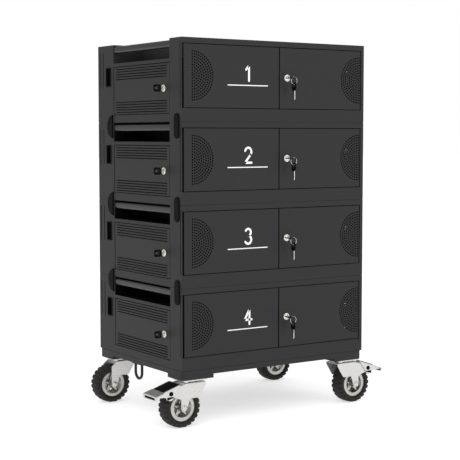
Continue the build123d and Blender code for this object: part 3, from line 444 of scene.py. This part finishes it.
class CasterSettings(bpy.types.PropertyGroup):
    """Sizes of the caster pieces."""

    lug_count: IntProperty(
        name="Tread lugs", description="Number of lugs round each edge of a tyre",
        default=22, min=8, max=40)
    lug_depth: FloatProperty(
        name="Lug depth", description="Depth of the gaps between the tread lugs",
        unit="LENGTH", default=0.004, min=0.0, max=0.008, precision=4)
    spoke_count: IntProperty(
        name="Spokes", description="Number of spokes in each rim", default=5, min=3, max=10)
    grip_ribs: IntProperty(
        name="Grip ribs", description="Number of ribs across each pedal's grip",
        default=11, min=3, max=20)


class CABINET_OT_tyres(bpy.types.Operator):
    """Make the four tyres"""

    bl_idname = "cabinet.tyres"
    bl_label = "Tyres"

    def execute(self, context):
        settings = context.scene.cabinet_casters
        for corner in CORNERS:
            low, high = node_box(f"tyre_{corner}")
            centre = (low + high) / 2
            outside = (high[2] - low[2]) / 2
            rim_low, rim_high = node_box(f"rim_{corner}")
            inside = (rim_high[2] - rim_low[2]) / 2
            points = self.tyre(inside, outside, (high[1] - low[1]) / 2,
                               settings.lug_count, millimetres(settings.lug_depth))
            make_piece(f"tyre_{corner}_ribbed",
                       [surface(on_axes(points, centre, X, Z, Y), True)],
                       ["ribbed_rubber"], f"wheel_{corner}", [f"tyre_{corner}"])
        return {"FINISHED"}

    def tyre(self, inside, outside, half_width, lugs, depth):
        """A section shaped as a superellipse, turned about the axle.

        Between the lugs the section sinks towards its middle, deepest on the shoulders, and the
        lugs of the two edges are half a step apart.
        """
        turn = np.linspace(0, 2 * math.pi, lugs * 16, endpoint=False)[None, :]
        section = np.linspace(0, 2 * math.pi, 48, endpoint=False)[:, None]
        squareness = 3.4
        wide, high = superellipse(section, 2 / squareness)
        step = turn * lugs / (2 * math.pi) + np.where(wide > 0, 0.0, 0.5)
        gap = 1 - smoothstep(0.10, 0.24, np.abs(step - np.round(step)))
        shoulder = smoothstep(0.30, 0.55, np.abs(wide)) * smoothstep(-0.1, 0.5, high)
        sink = gap * shoulder * depth
        radius = (inside + outside) / 2 + (outside - inside) / 2 * high - sink * 0.6
        across = half_width * wide - wide * sink * 0.7
        return grid(radius * np.cos(turn), radius * np.sin(turn), across)


class CABINET_OT_rims(bpy.types.Operator):
    """Make the four spoked rims"""

    bl_idname = "cabinet.rims"
    bl_label = "Rims"

    hub_radius = 10.0
    # How far the hub stands out beside the rim
    hub_proud = 6.0

    def execute(self, context):
        settings = context.scene.cabinet_casters
        for corner in CORNERS:
            low, high = node_box(f"rim_{corner}")
            centre = (low + high) / 2
            radius = (high[2] - low[2]) / 2
            half_hub = (high[1] - low[1]) / 2
            surfaces = [turned(self.barrel(radius, half_hub - self.hub_proud), centre, Y, True, 96),
                        turned(self.hub(half_hub), centre, Y, True, 48)]
            for spoke in range(settings.spoke_count):
                surfaces.append(self.spoke(centre, 2 * math.pi * spoke / settings.spoke_count, radius))
            make_piece(f"rim_{corner}_spoked", surfaces, ["polished_die_casting"],
                       f"wheel_{corner}", [f"rim_{corner}"])
        return {"FINISHED"}

    def barrel(self, radius, half):
        """A ring with a broad rolled lip at each side and a thinner waist."""
        lip, waist = 13.0, 4.0
        inner = [(radius - waist, -8), (radius - waist, 8), (radius - waist - 1, half - 6),
                 (radius - lip, half - 3), (radius - lip, half - 1), (radius - lip + 1, half)]
        outer = [(radius - 1, half), (radius, half - 1)]
        mirrored = [(r, -h) for r, h in reversed(inner[2:] + outer)]
        return inner + outer + mirrored

    def hub(self, half_length):
        """A bored tube that swells in the middle, where the spokes meet it."""
        bore, radius = 5.1, self.hub_radius
        side = [(bore, half_length - 0.6), (bore + 0.7, half_length), (radius - 0.6, half_length),
                (radius, half_length - 0.6), (radius, 18), (radius + 1, 16), (radius + 3, 12)]
        return side + [(r, -h) for r, h in reversed(side)]

    def spoke(self, centre, angle, radius):
        """A superellipse section that narrows from the hub to the middle and widens to the barrel."""
        start, end = self.hub_radius + 1, radius - 3
        along = np.linspace(start, end, 12)[:, None]
        turn = np.linspace(0, 2 * math.pi, 24, endpoint=False)[None, :]
        share = (along - start) / (end - start)
        wide = 10.0 - 4.0 * np.sin(math.pi * share) ** 0.8
        deep = 12.0 + 3.0 * share
        side, across = superellipse(turn, 0.6)
        side, across = wide * side, deep * across
        out = np.array([math.cos(angle + math.pi / 2), math.sin(angle + math.pi / 2)])
        beside = np.array([-out[1], out[0]])
        local = grid(along * out[0] + side * beside[0], along * out[1] + side * beside[1], across)
        return surface(on_axes(local, centre, X, Z, Y))


class CABINET_OT_forks(bpy.types.Operator):
    """Make the four pressed caster forks"""

    bl_idname = "cabinet.forks"
    bl_label = "Caster forks"

    thick = 3.0
    # The crown's reach from the swivel, towards the middle of the cabinet and away from it
    crown_inner, crown_outer = 41.0, 28.0
    # Drops from the crown to the first bend of each edge
    inner_drop, outer_drop = 9.0, 15.0
    # The level foot's height, its start from the swivel and its end from the axle
    foot_height, foot_start, foot_end = 90.0, 17.0, 20.0
    # Half the width of the cheek at the axle, and of its ear at the pedal's pivot
    end_half, ear_half = 11.0, 8.0
    bolt_radius, bolt_head = 9.0, 5.0
    kingpin_tall = 6.3

    def execute(self, context):
        for corner in CORNERS:
            sign = 1 if corner[1] == "l" else -1
            swivel = joint_place(f"caster_{corner}_swivel")
            axle = joint_place(f"wheel_{corner}_roll")
            low, high = node_box(f"caster_fork_{corner}")
            half = (high[1] - low[1]) / 2 - self.bolt_head
            crown = high[2] - self.kingpin_tall
            pivot = None
            if corner[0] == "f":
                place = joint_place(f"brake_{corner}_press")
                pivot = (sign * (place[0] - swivel[0]), place[2])
            outline = self.cheek(sign * (axle[0] - swivel[0]), axle[2], crown, pivot)
            surfaces = []
            for side in (-1, 1):
                origin = np.array([swivel[0], swivel[1] + side * half, 0])
                surfaces.append(plate(outline, self.thick, 0.8, origin, sign * X, Z, -side * Y))
                surfaces.append(self.bolt(axle + side * (half - 1) * Y, side * Y))
            middle = (self.crown_inner - self.crown_outer) / 2
            top = rounded(box_outline(self.crown_inner + self.crown_outer, 2 * half, (middle, 0)), 5)
            origin = np.array([swivel[0], swivel[1], crown])
            surfaces.append(plate(top, self.thick, 1.4, origin - self.thick * Z, sign * X, Y, Z))
            surfaces.append(turned([(0.1, -3), (12, -3), (14, -1.5), (14, 0.6), (6, 0.9),
                                    (6, self.kingpin_tall - 0.1), (0.1, self.kingpin_tall)], origin, Z))
            surfaces.append(turned([(0.1, -half), (5, -half), (5, half), (0.1, half)], axle, Y, count=24))
            make_piece(f"caster_fork_{corner}_pressed", surfaces, ["bright_zinc"],
                       f"caster_{corner}", [f"caster_fork_{corner}"])
        return {"FINISHED"}

    def cheek(self, trail, axle_height, crown, pivot):
        """A cheek's outline: wide under the crown, level at its foot, with a round end at the axle.

        Across, it counts from the swivel towards the middle of the cabinet. A front cheek has an ear
        round the pedal's pivot.
        """
        end, foot, ear = self.end_half, self.foot_height, self.ear_half
        corners = [(self.crown_inner, crown), (self.crown_inner, crown - self.inner_drop),
                   (self.foot_start, foot), (trail + self.foot_end, foot),
                   (trail + end, axle_height), (trail + end, axle_height - end),
                   (trail - end, axle_height - end)]
        radii = [2, 6, 8, 6, 2, end - 0.1, end - 0.1]
        if pivot is None:
            corners += [(trail - end, crown - self.outer_drop), (-self.crown_outer, crown)]
            radii += [10, 2]
        else:
            corners += [(trail - end, foot), (pivot[0] - ear, pivot[1] - ear),
                        (pivot[0] - ear, pivot[1] + ear), (-self.crown_outer, crown)]
            radii += [5, ear - 1, ear - 1, 10]
        return rounded(corners, radii, 8)

    def bolt(self, origin, out):
        """A domed bolt head with a flat rim, sunk 1 mm into its cheek."""
        radius, height = self.bolt_radius, self.bolt_head + 1
        return turned([(0.1, 0), (radius, 0), (radius, height * 0.45), (radius * 0.86, height * 0.6),
                       (radius * 0.62, height * 0.9), (radius * 0.3, height), (0.1, height)],
                      origin, out, count=32)


class CABINET_OT_pedals(bpy.types.Operator):
    """Make the two brake pedals with their ribbed grips"""

    bl_idname = "cabinet.pedals"
    bl_label = "Brake pedals"

    thick, half_width = 3.0, 35.0
    # The tread's run from its tip, and its heights at its inner end and its tip
    run, inner_height, tip_height = 90.0, 138.0, 109.0
    # Where the tread narrows from the broad tip
    broad, narrow = 22.0, 34.0
    lip_thick, lip_tall = 2.6, 12.0
    slot_length, slot_tall = 60.0, 7.0
    # The lip's and the slot's middles below the tip
    lip_drop, slot_drop = 7.0, 7.5
    # The side flanges, from the tip and from the floor
    flange = [(88, 135.5), (3, 107), (3, 103.5), (41, 103), (41, 91), (65, 91), (65, 103), (86, 131)]
    flange_radii = [1, 1, 1, 10, 11.5, 11.5, 10, 1]

    def execute(self, context):
        ribs = context.scene.cabinet_casters.grip_ribs
        for corner in ("fl", "fr"):
            sign = 1 if corner == "fl" else -1
            low, high = node_box(f"brake_pedal_{corner}")
            pivot = joint_place(f"brake_{corner}_press")
            middle = pivot[1]
            tip_half = (high[1] - low[1]) / 2
            half = self.half_width
            tip = low[0] if sign > 0 else high[0]
            # The tread falls from beside the fork's crown to the pedal's tip
            inner = np.array([tip + sign * self.run, middle, self.inner_height])
            outer = np.array([tip, middle, self.tip_height])
            along = inner - outer
            length = np.linalg.norm(along)
            along /= length
            out = np.cross(along, Y)
            out *= np.sign(out[2])
            left = [(0, -tip_half), (self.broad, -tip_half), (self.narrow, -half), (length, -half)]
            right = [(x, -y) for x, y in reversed(left)]
            tread = rounded(left + right, [3, 12, 12, 6, 6, 12, 12, 3])
            surfaces = [plate(tread, self.thick, 1.2, outer - self.thick * out, along, Y, out)]
            # Lip turned down at the tip, with a long slot through it
            lip = rounded(box_outline(2 * tip_half, self.lip_tall, (0, -self.lip_drop)), [7, 7, 2, 2], 8)
            edge = by_angle(lip, (0, -self.slot_drop), 120)[0]
            slot = rounded(box_outline(self.slot_length, self.slot_tall, (0, -self.slot_drop)), 2.4, 8)
            slot = by_angle(slot, (0, -self.slot_drop), 120)[0]
            surfaces.append(holed_plate(edge, slot, self.lip_thick, 0.7, outer, Y, Z, sign * X))
            # The grip's moulded hook lies behind the slot
            hook = box_outline(self.slot_length + 4, self.slot_tall + 2, (0, -self.slot_drop))
            behind = outer + sign * (self.lip_thick - 0.2) * X
            surfaces.append(plate(rounded(hook, 2, 4), 1.5, 0.3, behind, Y, Z, sign * X, 1))
            # Side flanges down to the pivot, each with a domed pin head outside it
            flange = rounded(self.flange, self.flange_radii, 8)
            for side in (-1, 1):
                origin = np.array([tip, middle + side * half, 0])
                surfaces.append(plate(flange, self.thick, 0.7, origin, sign * X, Z, -side * Y))
                surfaces.append(turned([(0.1, -1), (7, -1), (7, 1.2), (5, 2.6), (0.1, 3)],
                                       pivot + side * half * Y, side * Y, count=24, slot=1))
            surfaces.append(turned([(0.1, -half), (4, -half), (4, half), (0.1, half)], pivot, Y, count=24))
            surfaces.append(self.grip(outer, along, out, ribs))
            make_piece(f"brake_pedal_{corner}_pressed", surfaces,
                       ["bright_zinc", "moulded_black_plastic"], f"brake_{corner}",
                       [f"brake_pedal_{corner}"])
        return {"FINISHED"}

    def grip(self, outer, along, out, ribs):
        """A pad whose height rises and falls with a raised cosine along the pedal."""
        begin, end, half = 32.5, 91.0, 30.0
        run = np.linspace(begin, end, ribs * 10 + 1)[:, None]
        wave = 0.5 - 0.5 * np.cos(2 * math.pi * ribs * (run - begin) / (end - begin))
        rise = 0.9 + 1.5 * wave
        shoulder, base = rise * 0.6, np.full(run.shape, -0.4)
        across = np.array([-half, half, half, half - 1.2, -half + 1.2, -half])
        height = np.hstack([base, base, shoulder, rise, rise, shoulder])
        return surface(on_axes(grid(run, across, height), outer, along, Y, out), slot=1)


# Locks and keys

class KeySettings(bpy.types.PropertyGroup):
    """Sizes of the locks and keys."""

    bow_width: FloatProperty(
        name="Bow width", description="Width of a key's moulded head",
        unit="LENGTH", default=0.022, min=0.015, max=0.022, precision=4)
    wire: FloatProperty(
        name="Ring wire", description="Thickness of the key rings' wire",
        unit="LENGTH", default=0.001, min=0.0006, max=0.001, precision=4)


BOW_LONG = 26.0
BOW_THICK = 2.5
BOW_HOLE_RADIUS = 4.5
BOW_HOLE_FROM_TIP = 9.0
BLADE_WIDE = 8.0
BLADE_THICK = 2.2
# How far out of its lock's plane a key's shank starts and its bow begins
SHANK_START, BOW_START = 2, 10
SHANK_LONG = 12
SPARE_BLADE_LONG = 30


def key_bow(origin, across, up, out, width):
    """A moulded key head: a rounded square with a round hole near its far edge.

    It starts at its origin and runs along up, and its thickness lies about its middle plane.
    """
    outline = rounded(box_outline(width, BOW_LONG, (0, BOW_LONG / 2)), 6, 8)
    middle = BOW_LONG - BOW_HOLE_FROM_TIP
    edge, angles = by_angle(outline, (0, middle), 96)
    hole = np.column_stack([BOW_HOLE_RADIUS * np.cos(angles), middle + BOW_HOLE_RADIUS * np.sin(angles)])
    back = np.asarray(origin, float) - np.asarray(out) * BOW_THICK / 2
    return holed_plate(edge, hole, BOW_THICK, 0.8, back, across, up, out)


def key_blade(origin, across, up, out, length, notched):
    """A flat blade along up, with a pointed end and a row of cuts in one edge if it's notched."""
    half = BLADE_WIDE / 2
    corners = box_outline(2 * half, length, (0, length / 2))
    if notched:
        corners = [(-half, 0), (half, 0), (half, 4)]
        for index, depth in enumerate((1.2, 2.4, 0.8, 2.0)):
            place = 6 + index * 5
            corners += [(half - depth, place), (half - depth, place + 1.6), (half - 0.2, place + 3.2)]
        corners += [(half - 2, length), (-half + 2, length), (-half, length - 3)]
    back = np.asarray(origin, float) - np.asarray(out) * BLADE_THICK / 2
    return plate(rounded(corners, 0.3, 2), BLADE_THICK, 0.25, back, across, up, out, 1)


class CABINET_OT_locks(bpy.types.Operator):
    """Make the cam locks of the front and side doors"""

    bl_idname = "cabinet.locks"
    bl_label = "Locks"

    front_cam_reach, side_cam_reach = 38.0, 46.0
    face_radius, barrel_radius, barrel_long = 11.0, 9.0, 19.5
    # The nut's and the cam's inner faces behind the door's front
    nut_radius, nut_thick, nut_behind = 13.0, 3.0, 4.5
    cam_half, cam_thick, cam_behind = 7.0, 2.0, 21.5
    keyway_long, keyway_wide = 15.0, 4.0
    # The floor of the ring groove round the plug, where the keyway's plate starts as well
    groove_height = 1.4

    def execute(self, context):
        for module in MODULES:
            origin = joint_place(f"front_lock_{module}_turn")
            self.lock(f"front_lock_{module}", origin, X, -Y, self.front_cam_reach)
            origin = joint_place(f"side_lock_{module}_turn")
            self.lock(f"side_lock_{module}", origin, Z, -X, self.side_cam_reach)
        return {"FINISHED"}

    def lock(self, name, origin, blade, out, reach):
        """A face with a raised rim round its plug, a barrel with a nut, and a cam that hangs down."""
        tip = -Z
        side = np.cross(out, tip)
        face, barrel, end = self.face_radius, self.barrel_radius, -self.barrel_long
        groove = self.groove_height
        surfaces = [turned([(0.1, end), (barrel, end), (barrel, 0), (face, 0), (face, 1.0),
                            (face - 0.7, 1.8), (face - 1.4, 2.0), (8.6, 1.9), (8.2, groove),
                            (7.8, groove), (7.6, 1.9), (0.1, 1.95)], origin, out, count=64)]
        nut = rounded(arc((0, 0), self.nut_radius, 0, 300, 6), 1.0, 3)
        surfaces.append(plate(nut, self.nut_thick, 0.5, origin - self.nut_behind * out, side, tip, out))
        half = self.cam_half
        cam = rounded([(-half, -half), (half, -half), (half, reach), (-half, reach)],
                      [half - 0.1, half - 0.1, 3, 3])
        surfaces.append(plate(cam, self.cam_thick, 0.4, origin - self.cam_behind * out, side, tip, out))
        keyway = rounded(box_outline(self.keyway_long, self.keyway_wide), 1.8)
        across = np.cross(blade, out)
        surfaces.append(plate(keyway, 0.6, 0.1, origin + groove * out, blade, across, out, 1))
        make_piece(f"{name}_turned", surfaces, ["polished_nickel", "glossy_key_plastic"], name,
                   [name])


class CABINET_OT_keys(bpy.types.Operator):
    """Make the keys in the locks, their rings and the spare keys"""

    bl_idname = "cabinet.keys"
    bl_label = "Keys"

    def execute(self, context):
        settings = context.scene.cabinet_keys
        width = millimetres(settings.bow_width)
        wire = millimetres(settings.wire)
        for module in MODULES:
            face = joint_place(f"front_lock_{module}_turn")
            ring = joint_place(f"spare_key_{module}_swing")
            shank, bow = face - SHANK_START * Y, face - BOW_START * Y
            make_piece(f"front_key_{module}_moulded",
                       [key_bow(bow, X, -Y, Z, width), key_blade(shank, X, -Y, Z, SHANK_LONG, False),
                        self.split_ring(ring, wire)],
                       ["glossy_key_plastic", "polished_nickel"], f"front_lock_{module}",
                       [f"front_key_{module}"])
            low, high = node_box(f"spare_key_{module}")
            top = np.array([ring[0], ring[1], high[2]])
            make_piece(f"spare_key_{module}_moulded",
                       [key_bow(top - BOW_LONG * Z, Y, Z, X, width),
                        key_blade(top - (BOW_LONG - 2) * Z, Y, -Z, X, SPARE_BLADE_LONG, True)],
                       ["glossy_key_plastic", "polished_nickel"], f"spare_key_{module}",
                       [f"spare_key_{module}"])
            face = joint_place(f"side_lock_{module}_turn")
            make_piece(f"side_key_{module}_moulded",
                       [key_bow(face - BOW_START * X, Z, -X, Y, width),
                        key_blade(face - SHANK_START * X, Z, -X, Y, SHANK_LONG, False)],
                       ["glossy_key_plastic", "polished_nickel"], f"side_lock_{module}",
                       [f"side_key_{module}"])
        return {"FINISHED"}

    def split_ring(self, centre, wire):
        """A wire wound twice round a circle, stepping over beside itself half way."""
        radius = 11.0
        turn = np.linspace(0, 4 * math.pi, 145)[:, None]
        section = np.linspace(0, 2 * math.pi, 10, endpoint=False)[None, :]
        beside = wire * (smoothstep(0.46, 0.54, turn / (4 * math.pi)) - 0.5)
        spoke = radius + wire / 2 * np.cos(section)
        local = grid(spoke * np.cos(turn), spoke * np.sin(turn), beside + wire / 2 * np.sin(section))
        return surface(on_axes(local, centre, X, Z, Y), slot=1)


# Casing details

class CasingSettings(bpy.types.PropertyGroup):
    """Sizes of the casing's pressed and printed details."""

    lip_height: FloatProperty(
        name="Louvre lip", description="How far a louvre's pressed lip stands out",
        unit="LENGTH", default=0.0014, min=0.0, max=0.003, precision=4)
    number_height: FloatProperty(
        name="Number height", description="Height of the module numbers on the left doors",
        unit="LENGTH", default=0.046, min=0.02, max=0.06)


class CABINET_OT_louvres(bpy.types.Operator):
    """Make the pressed lips under the louvre slots of the side doors and right sides"""

    bl_idname = "cabinet.louvres"
    bl_label = "Louvre lips"

    # Drops from a module's top to the first slot of each field
    fields = (80.0, 185.0)
    rows, pitch = 5, 8.0
    # Half a slot's length, and the drop from a slot's middle to the lip along its lower edge
    half_length, lip_drop = 159.5, 2.4

    def execute(self, context):
        height = millimetres(context.scene.cabinet_casing.lip_height)
        # The slots run between the posts, as the handle bars do
        bars = node_box("handle_bars")
        middle = (bars[0][1] + bars[1][1]) / 2
        for module in MODULES:
            drop = (module - 1) * MODULE_HEIGHT
            for name, body, side in (("left", f"side_door_{module}", -1), ("right", "cabinet", 1)):
                surfaces = []
                for first in self.fields:
                    for row in range(self.rows):
                        z = CASING_HIGH[2] - drop - first - row * self.pitch - self.lip_drop
                        centre = np.array([side * CASING_HIGH[0], middle, z])
                        surfaces += [self.lip(centre, side, height), self.blade(centre, side)]
                make_piece(f"louvre_lips_{name}_{module}", surfaces, ["textured_charcoal_powder"], body)
        return {"FINISHED"}

    def lip(self, centre, side, height):
        """A half-ellipse section along the slot, which fades out over its last 4 mm."""
        half = self.half_length
        along = np.concatenate([np.linspace(-half, -half + 6, 7), np.linspace(half - 6, half, 7)])[:, None]
        fade = np.sqrt(np.clip((half - np.abs(along)) / 4, 0.02, 1))
        turn = np.linspace(0, math.pi, 9)
        out = height * np.sin(turn) * fade - 0.3
        up = 1.1 * np.cos(turn) * fade
        return surface(on_axes(grid(along, up, out), centre, Y, Z, side * X))

    def blade(self, centre, side):
        """The sheet pressed in behind a slot, which rises inwards from its lower edge."""
        ends = (self.half_length - 0.5) * np.array([-1, 1])[:, None]
        up = np.array([0.6, 1.4, 5.4, 4.6])
        out = np.array([-1.4, -1.4, -5.2, -5.6])
        return surface(on_axes(grid(ends, up, out), centre, Y, Z, side * X), flat=True)


class CABINET_OT_numbers(bpy.types.Operator):
    """Print a plain number and a rule on each left door"""

    bl_idname = "cabinet.numbers"
    bl_label = "Module numbers"

    # A number's place from the casing's left edge and its module's top
    from_left, from_top = 226.0, 78.0
    rule_long, rule_wide = 150.0, 3.0
    ink, ink_edge, ink_proud = 0.12, 0.04, 0.11

    def execute(self, context):
        height = millimetres(context.scene.cabinet_casing.number_height)
        for module in MODULES:
            drop = (module - 1) * MODULE_HEIGHT
            low = node_box(f"front_door_left_{module}")[0]
            corner = np.array([CASING_LOW[0] + self.from_left, low[1] - self.ink_proud,
                               CASING_HIGH[2] - drop - self.from_top - height])
            surfaces = []
            for stroke in self.strokes(module):
                path = np.array(stroke) * (height * 0.58, height)
                surfaces.append(self.ribbon(path, height * 0.15, corner))
            rule = rounded(box_outline(self.rule_long, self.rule_wide, (12, -14)), 1.4)
            surfaces.append(plate(rule, self.ink, self.ink_edge, corner, X, Z, Y))
            make_piece(f"module_number_{module}", surfaces, ["white_print"],
                       f"front_door_left_{module}")
        return {"FINISHED"}

    def strokes(self, number):
        """A digit's strokes in a box one wide and one high."""
        if number == 1:
            return [[(0.2, 0.74), (0.6, 1.0)], [(0.6, 1.0), (0.6, 0.0)]]
        if number == 2:
            bow = arc((0.5, 0.72), (0.44, 0.28), 165, -40, 18)
            return [bow, [bow[-1], (0.06, 0.0)], [(0.06, 0.0), (0.96, 0.0)]]
        if number == 3:
            return [arc((0.5, 0.77), (0.38, 0.23), 150, -90, 20),
                    arc((0.5, 0.27), (0.44, 0.27), 90, -150, 20)]
        return [[(0.7, 1.0), (0.02, 0.3)], [(0.02, 0.3), (1.0, 0.3)], [(0.7, 1.0), (0.7, 0.0)]]

    def ribbon(self, path, width, corner):
        """A flat band of one width along a path, with round ends."""
        ahead = np.gradient(path, axis=0)
        ahead /= np.linalg.norm(ahead, axis=1, keepdims=True)
        beside = np.column_stack([-ahead[:, 1], ahead[:, 0]]) * width / 2
        ends = []
        for place, forward in ((path[-1], ahead[-1]), (path[0], -ahead[0])):
            left = np.array([-forward[1], forward[0]])
            turn = np.linspace(math.pi / 2, -math.pi / 2, 9)[1:-1, None]
            ends.append(place + width / 2 * (np.sin(turn) * left + np.cos(turn) * forward))
        outline = np.vstack([path + beside, ends[0], (path - beside)[::-1], ends[1]])
        return plate(outline, self.ink, self.ink_edge, corner, X, Z, Y)


# Stage

class StageSettings(bpy.types.PropertyGroup):
    """Light and background."""

    sky: FloatProperty(
        name="Surrounding light", description="Strength of the even light from all round",
        default=0.62, min=0, max=5)
    key_light: FloatProperty(
        name="Key light", description="Power of the large lamp at the front left",
        unit="POWER", default=45, min=0, max=2000)


class CABINET_OT_stage(bpy.types.Operator):
    """Make the floor, the surroundings, the lamps and the camera"""

    bl_idname = "cabinet.stage"
    bl_label = "Stage"

    def execute(self, context):
        scene = context.scene
        settings = scene.cabinet_stage
        self.floor()
        self.surroundings(scene, settings.sky)
        self.lamp("key_lamp", (-2.6, -2.4, 2.8), 2.6, settings.key_light)
        self.lamp("front_lamp", (1.8, -3.6, 1.9), 2.4, settings.key_light * 0.5)
        # Solved from the straight edges of the casing in the photograph
        place, lens = (-2.2767, -3.3927, 0.8849), 97.24
        heading, fall = math.radians(33.706), math.radians(4.343)
        camera = bpy.data.cameras.new("camera")
        camera.lens = lens
        camera.sensor_width = 36
        camera.clip_end = 100
        seen_from = bpy.data.objects.new("camera", camera)
        scene.collection.objects.link(seen_from)
        seen_from.location = place
        forward = Vector((math.sin(heading) * math.cos(fall), math.cos(heading) * math.cos(fall),
                          -math.sin(fall)))
        seen_from.rotation_mode = "QUATERNION"
        seen_from.rotation_quaternion = forward.to_track_quat("-Z", "Y")
        scene.camera = seen_from
        scene.view_settings.view_transform = "Standard"
        return {"FINISHED"}

    def floor(self):
        """A plain pale floor."""
        mesh = bpy.data.meshes.new("floor")
        far = 40
        corners = [(-far, -far, 0), (far, -far, 0), (far, far, 0), (-far, far, 0)]
        mesh.from_pydata(corners, [], [(0, 1, 2, 3)])
        # Seamless paper, lifted so that it reads as white as the backdrop
        shader = new_material("paper_floor", linear("#FBFBFB"), 0.9)[1]
        shader.inputs["Emission Color"].default_value = (1, 1, 1, 1)
        shader.inputs["Emission Strength"].default_value = 0.55
        mesh.materials.append(bpy.data.materials["paper_floor"])
        floor = bpy.data.objects.new("floor", mesh)
        bpy.context.scene.collection.objects.link(floor)

    def surroundings(self, scene, strength):
        """White where the camera sees it, and an even soft light elsewhere."""
        world = bpy.data.worlds.new("studio")
        scene.world = world
        world.use_nodes = True
        tree = world.node_tree
        tree.nodes.clear()
        rays = add_node(tree, "ShaderNodeLightPath")
        light = add_node(tree, "ShaderNodeBackground", {"Color": (1, 1, 1, 1), "Strength": strength})
        backdrop = add_node(tree, "ShaderNodeBackground", {"Color": (1, 1, 1, 1), "Strength": 1.0})
        mixed = add_node(tree, "ShaderNodeMixShader", {0: rays.outputs["Is Camera Ray"],
                                                       1: light.outputs[0], 2: backdrop.outputs[0]})
        add_node(tree, "ShaderNodeOutputWorld", {"Surface": mixed.outputs[0]})

    def lamp(self, name, place, size, power):
        """A large square lamp that faces the middle of the cabinet."""
        light = bpy.data.lights.new(name, "AREA")
        light.size = size
        light.energy = power
        lamp = bpy.data.objects.new(name, light)
        bpy.context.scene.collection.objects.link(lamp)
        lamp.location = place
        lamp.rotation_mode = "QUATERNION"
        lamp.rotation_quaternion = (Vector((0, 0, 0.6)) - Vector(place)).to_track_quat("-Z", "Y")


GROUPS = {
    "cabinet_finishes": FinishSettings,
    "cabinet_casters": CasterSettings,
    "cabinet_keys": KeySettings,
    "cabinet_casing": CasingSettings,
    "cabinet_stage": StageSettings,
}
OPERATORS = (
    CABINET_OT_finishes,
    CABINET_OT_tyres,
    CABINET_OT_rims,
    CABINET_OT_forks,
    CABINET_OT_pedals,
    CABINET_OT_locks,
    CABINET_OT_keys,
    CABINET_OT_louvres,
    CABINET_OT_numbers,
    CABINET_OT_stage,
)


class CABINET_PT_panel(bpy.types.Panel):
    """The settings, and a button for each operator."""

    bl_label = "Charging Cabinet"
    bl_idname = "CABINET_PT_panel"
    bl_space_type = "VIEW_3D"
    bl_region_type = "UI"
    bl_category = "Cabinet"

    def draw(self, context):
        for group, settings in GROUPS.items():
            box = self.layout.box()
            for name in settings.__annotations__:
                box.prop(getattr(context.scene, group), name)
        for operator in OPERATORS:
            self.layout.operator(operator.bl_idname)


def register():
    for settings in GROUPS.values():
        bpy.utils.register_class(settings)
    for operator in OPERATORS:
        bpy.utils.register_class(operator)
    bpy.utils.register_class(CABINET_PT_panel)
    for name, settings in GROUPS.items():
        setattr(bpy.types.Scene, name, PointerProperty(type=settings))


def unregister():
    for name in GROUPS:
        delattr(bpy.types.Scene, name)
    bpy.utils.unregister_class(CABINET_PT_panel)
    for operator in reversed(OPERATORS):
        bpy.utils.unregister_class(operator)
    for settings in reversed(GROUPS.values()):
        bpy.utils.unregister_class(settings)


def main():
    """Register the add-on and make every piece."""
    register()
    bpy.ops.cabinet.finishes()
    bpy.ops.cabinet.tyres()
    bpy.ops.cabinet.rims()
    bpy.ops.cabinet.forks()
    bpy.ops.cabinet.pedals()
    bpy.ops.cabinet.locks()
    bpy.ops.cabinet.keys()
    bpy.ops.cabinet.louvres()
    bpy.ops.cabinet.numbers()
    bpy.ops.cabinet.stage()


if __name__ == "__main__":
    main()
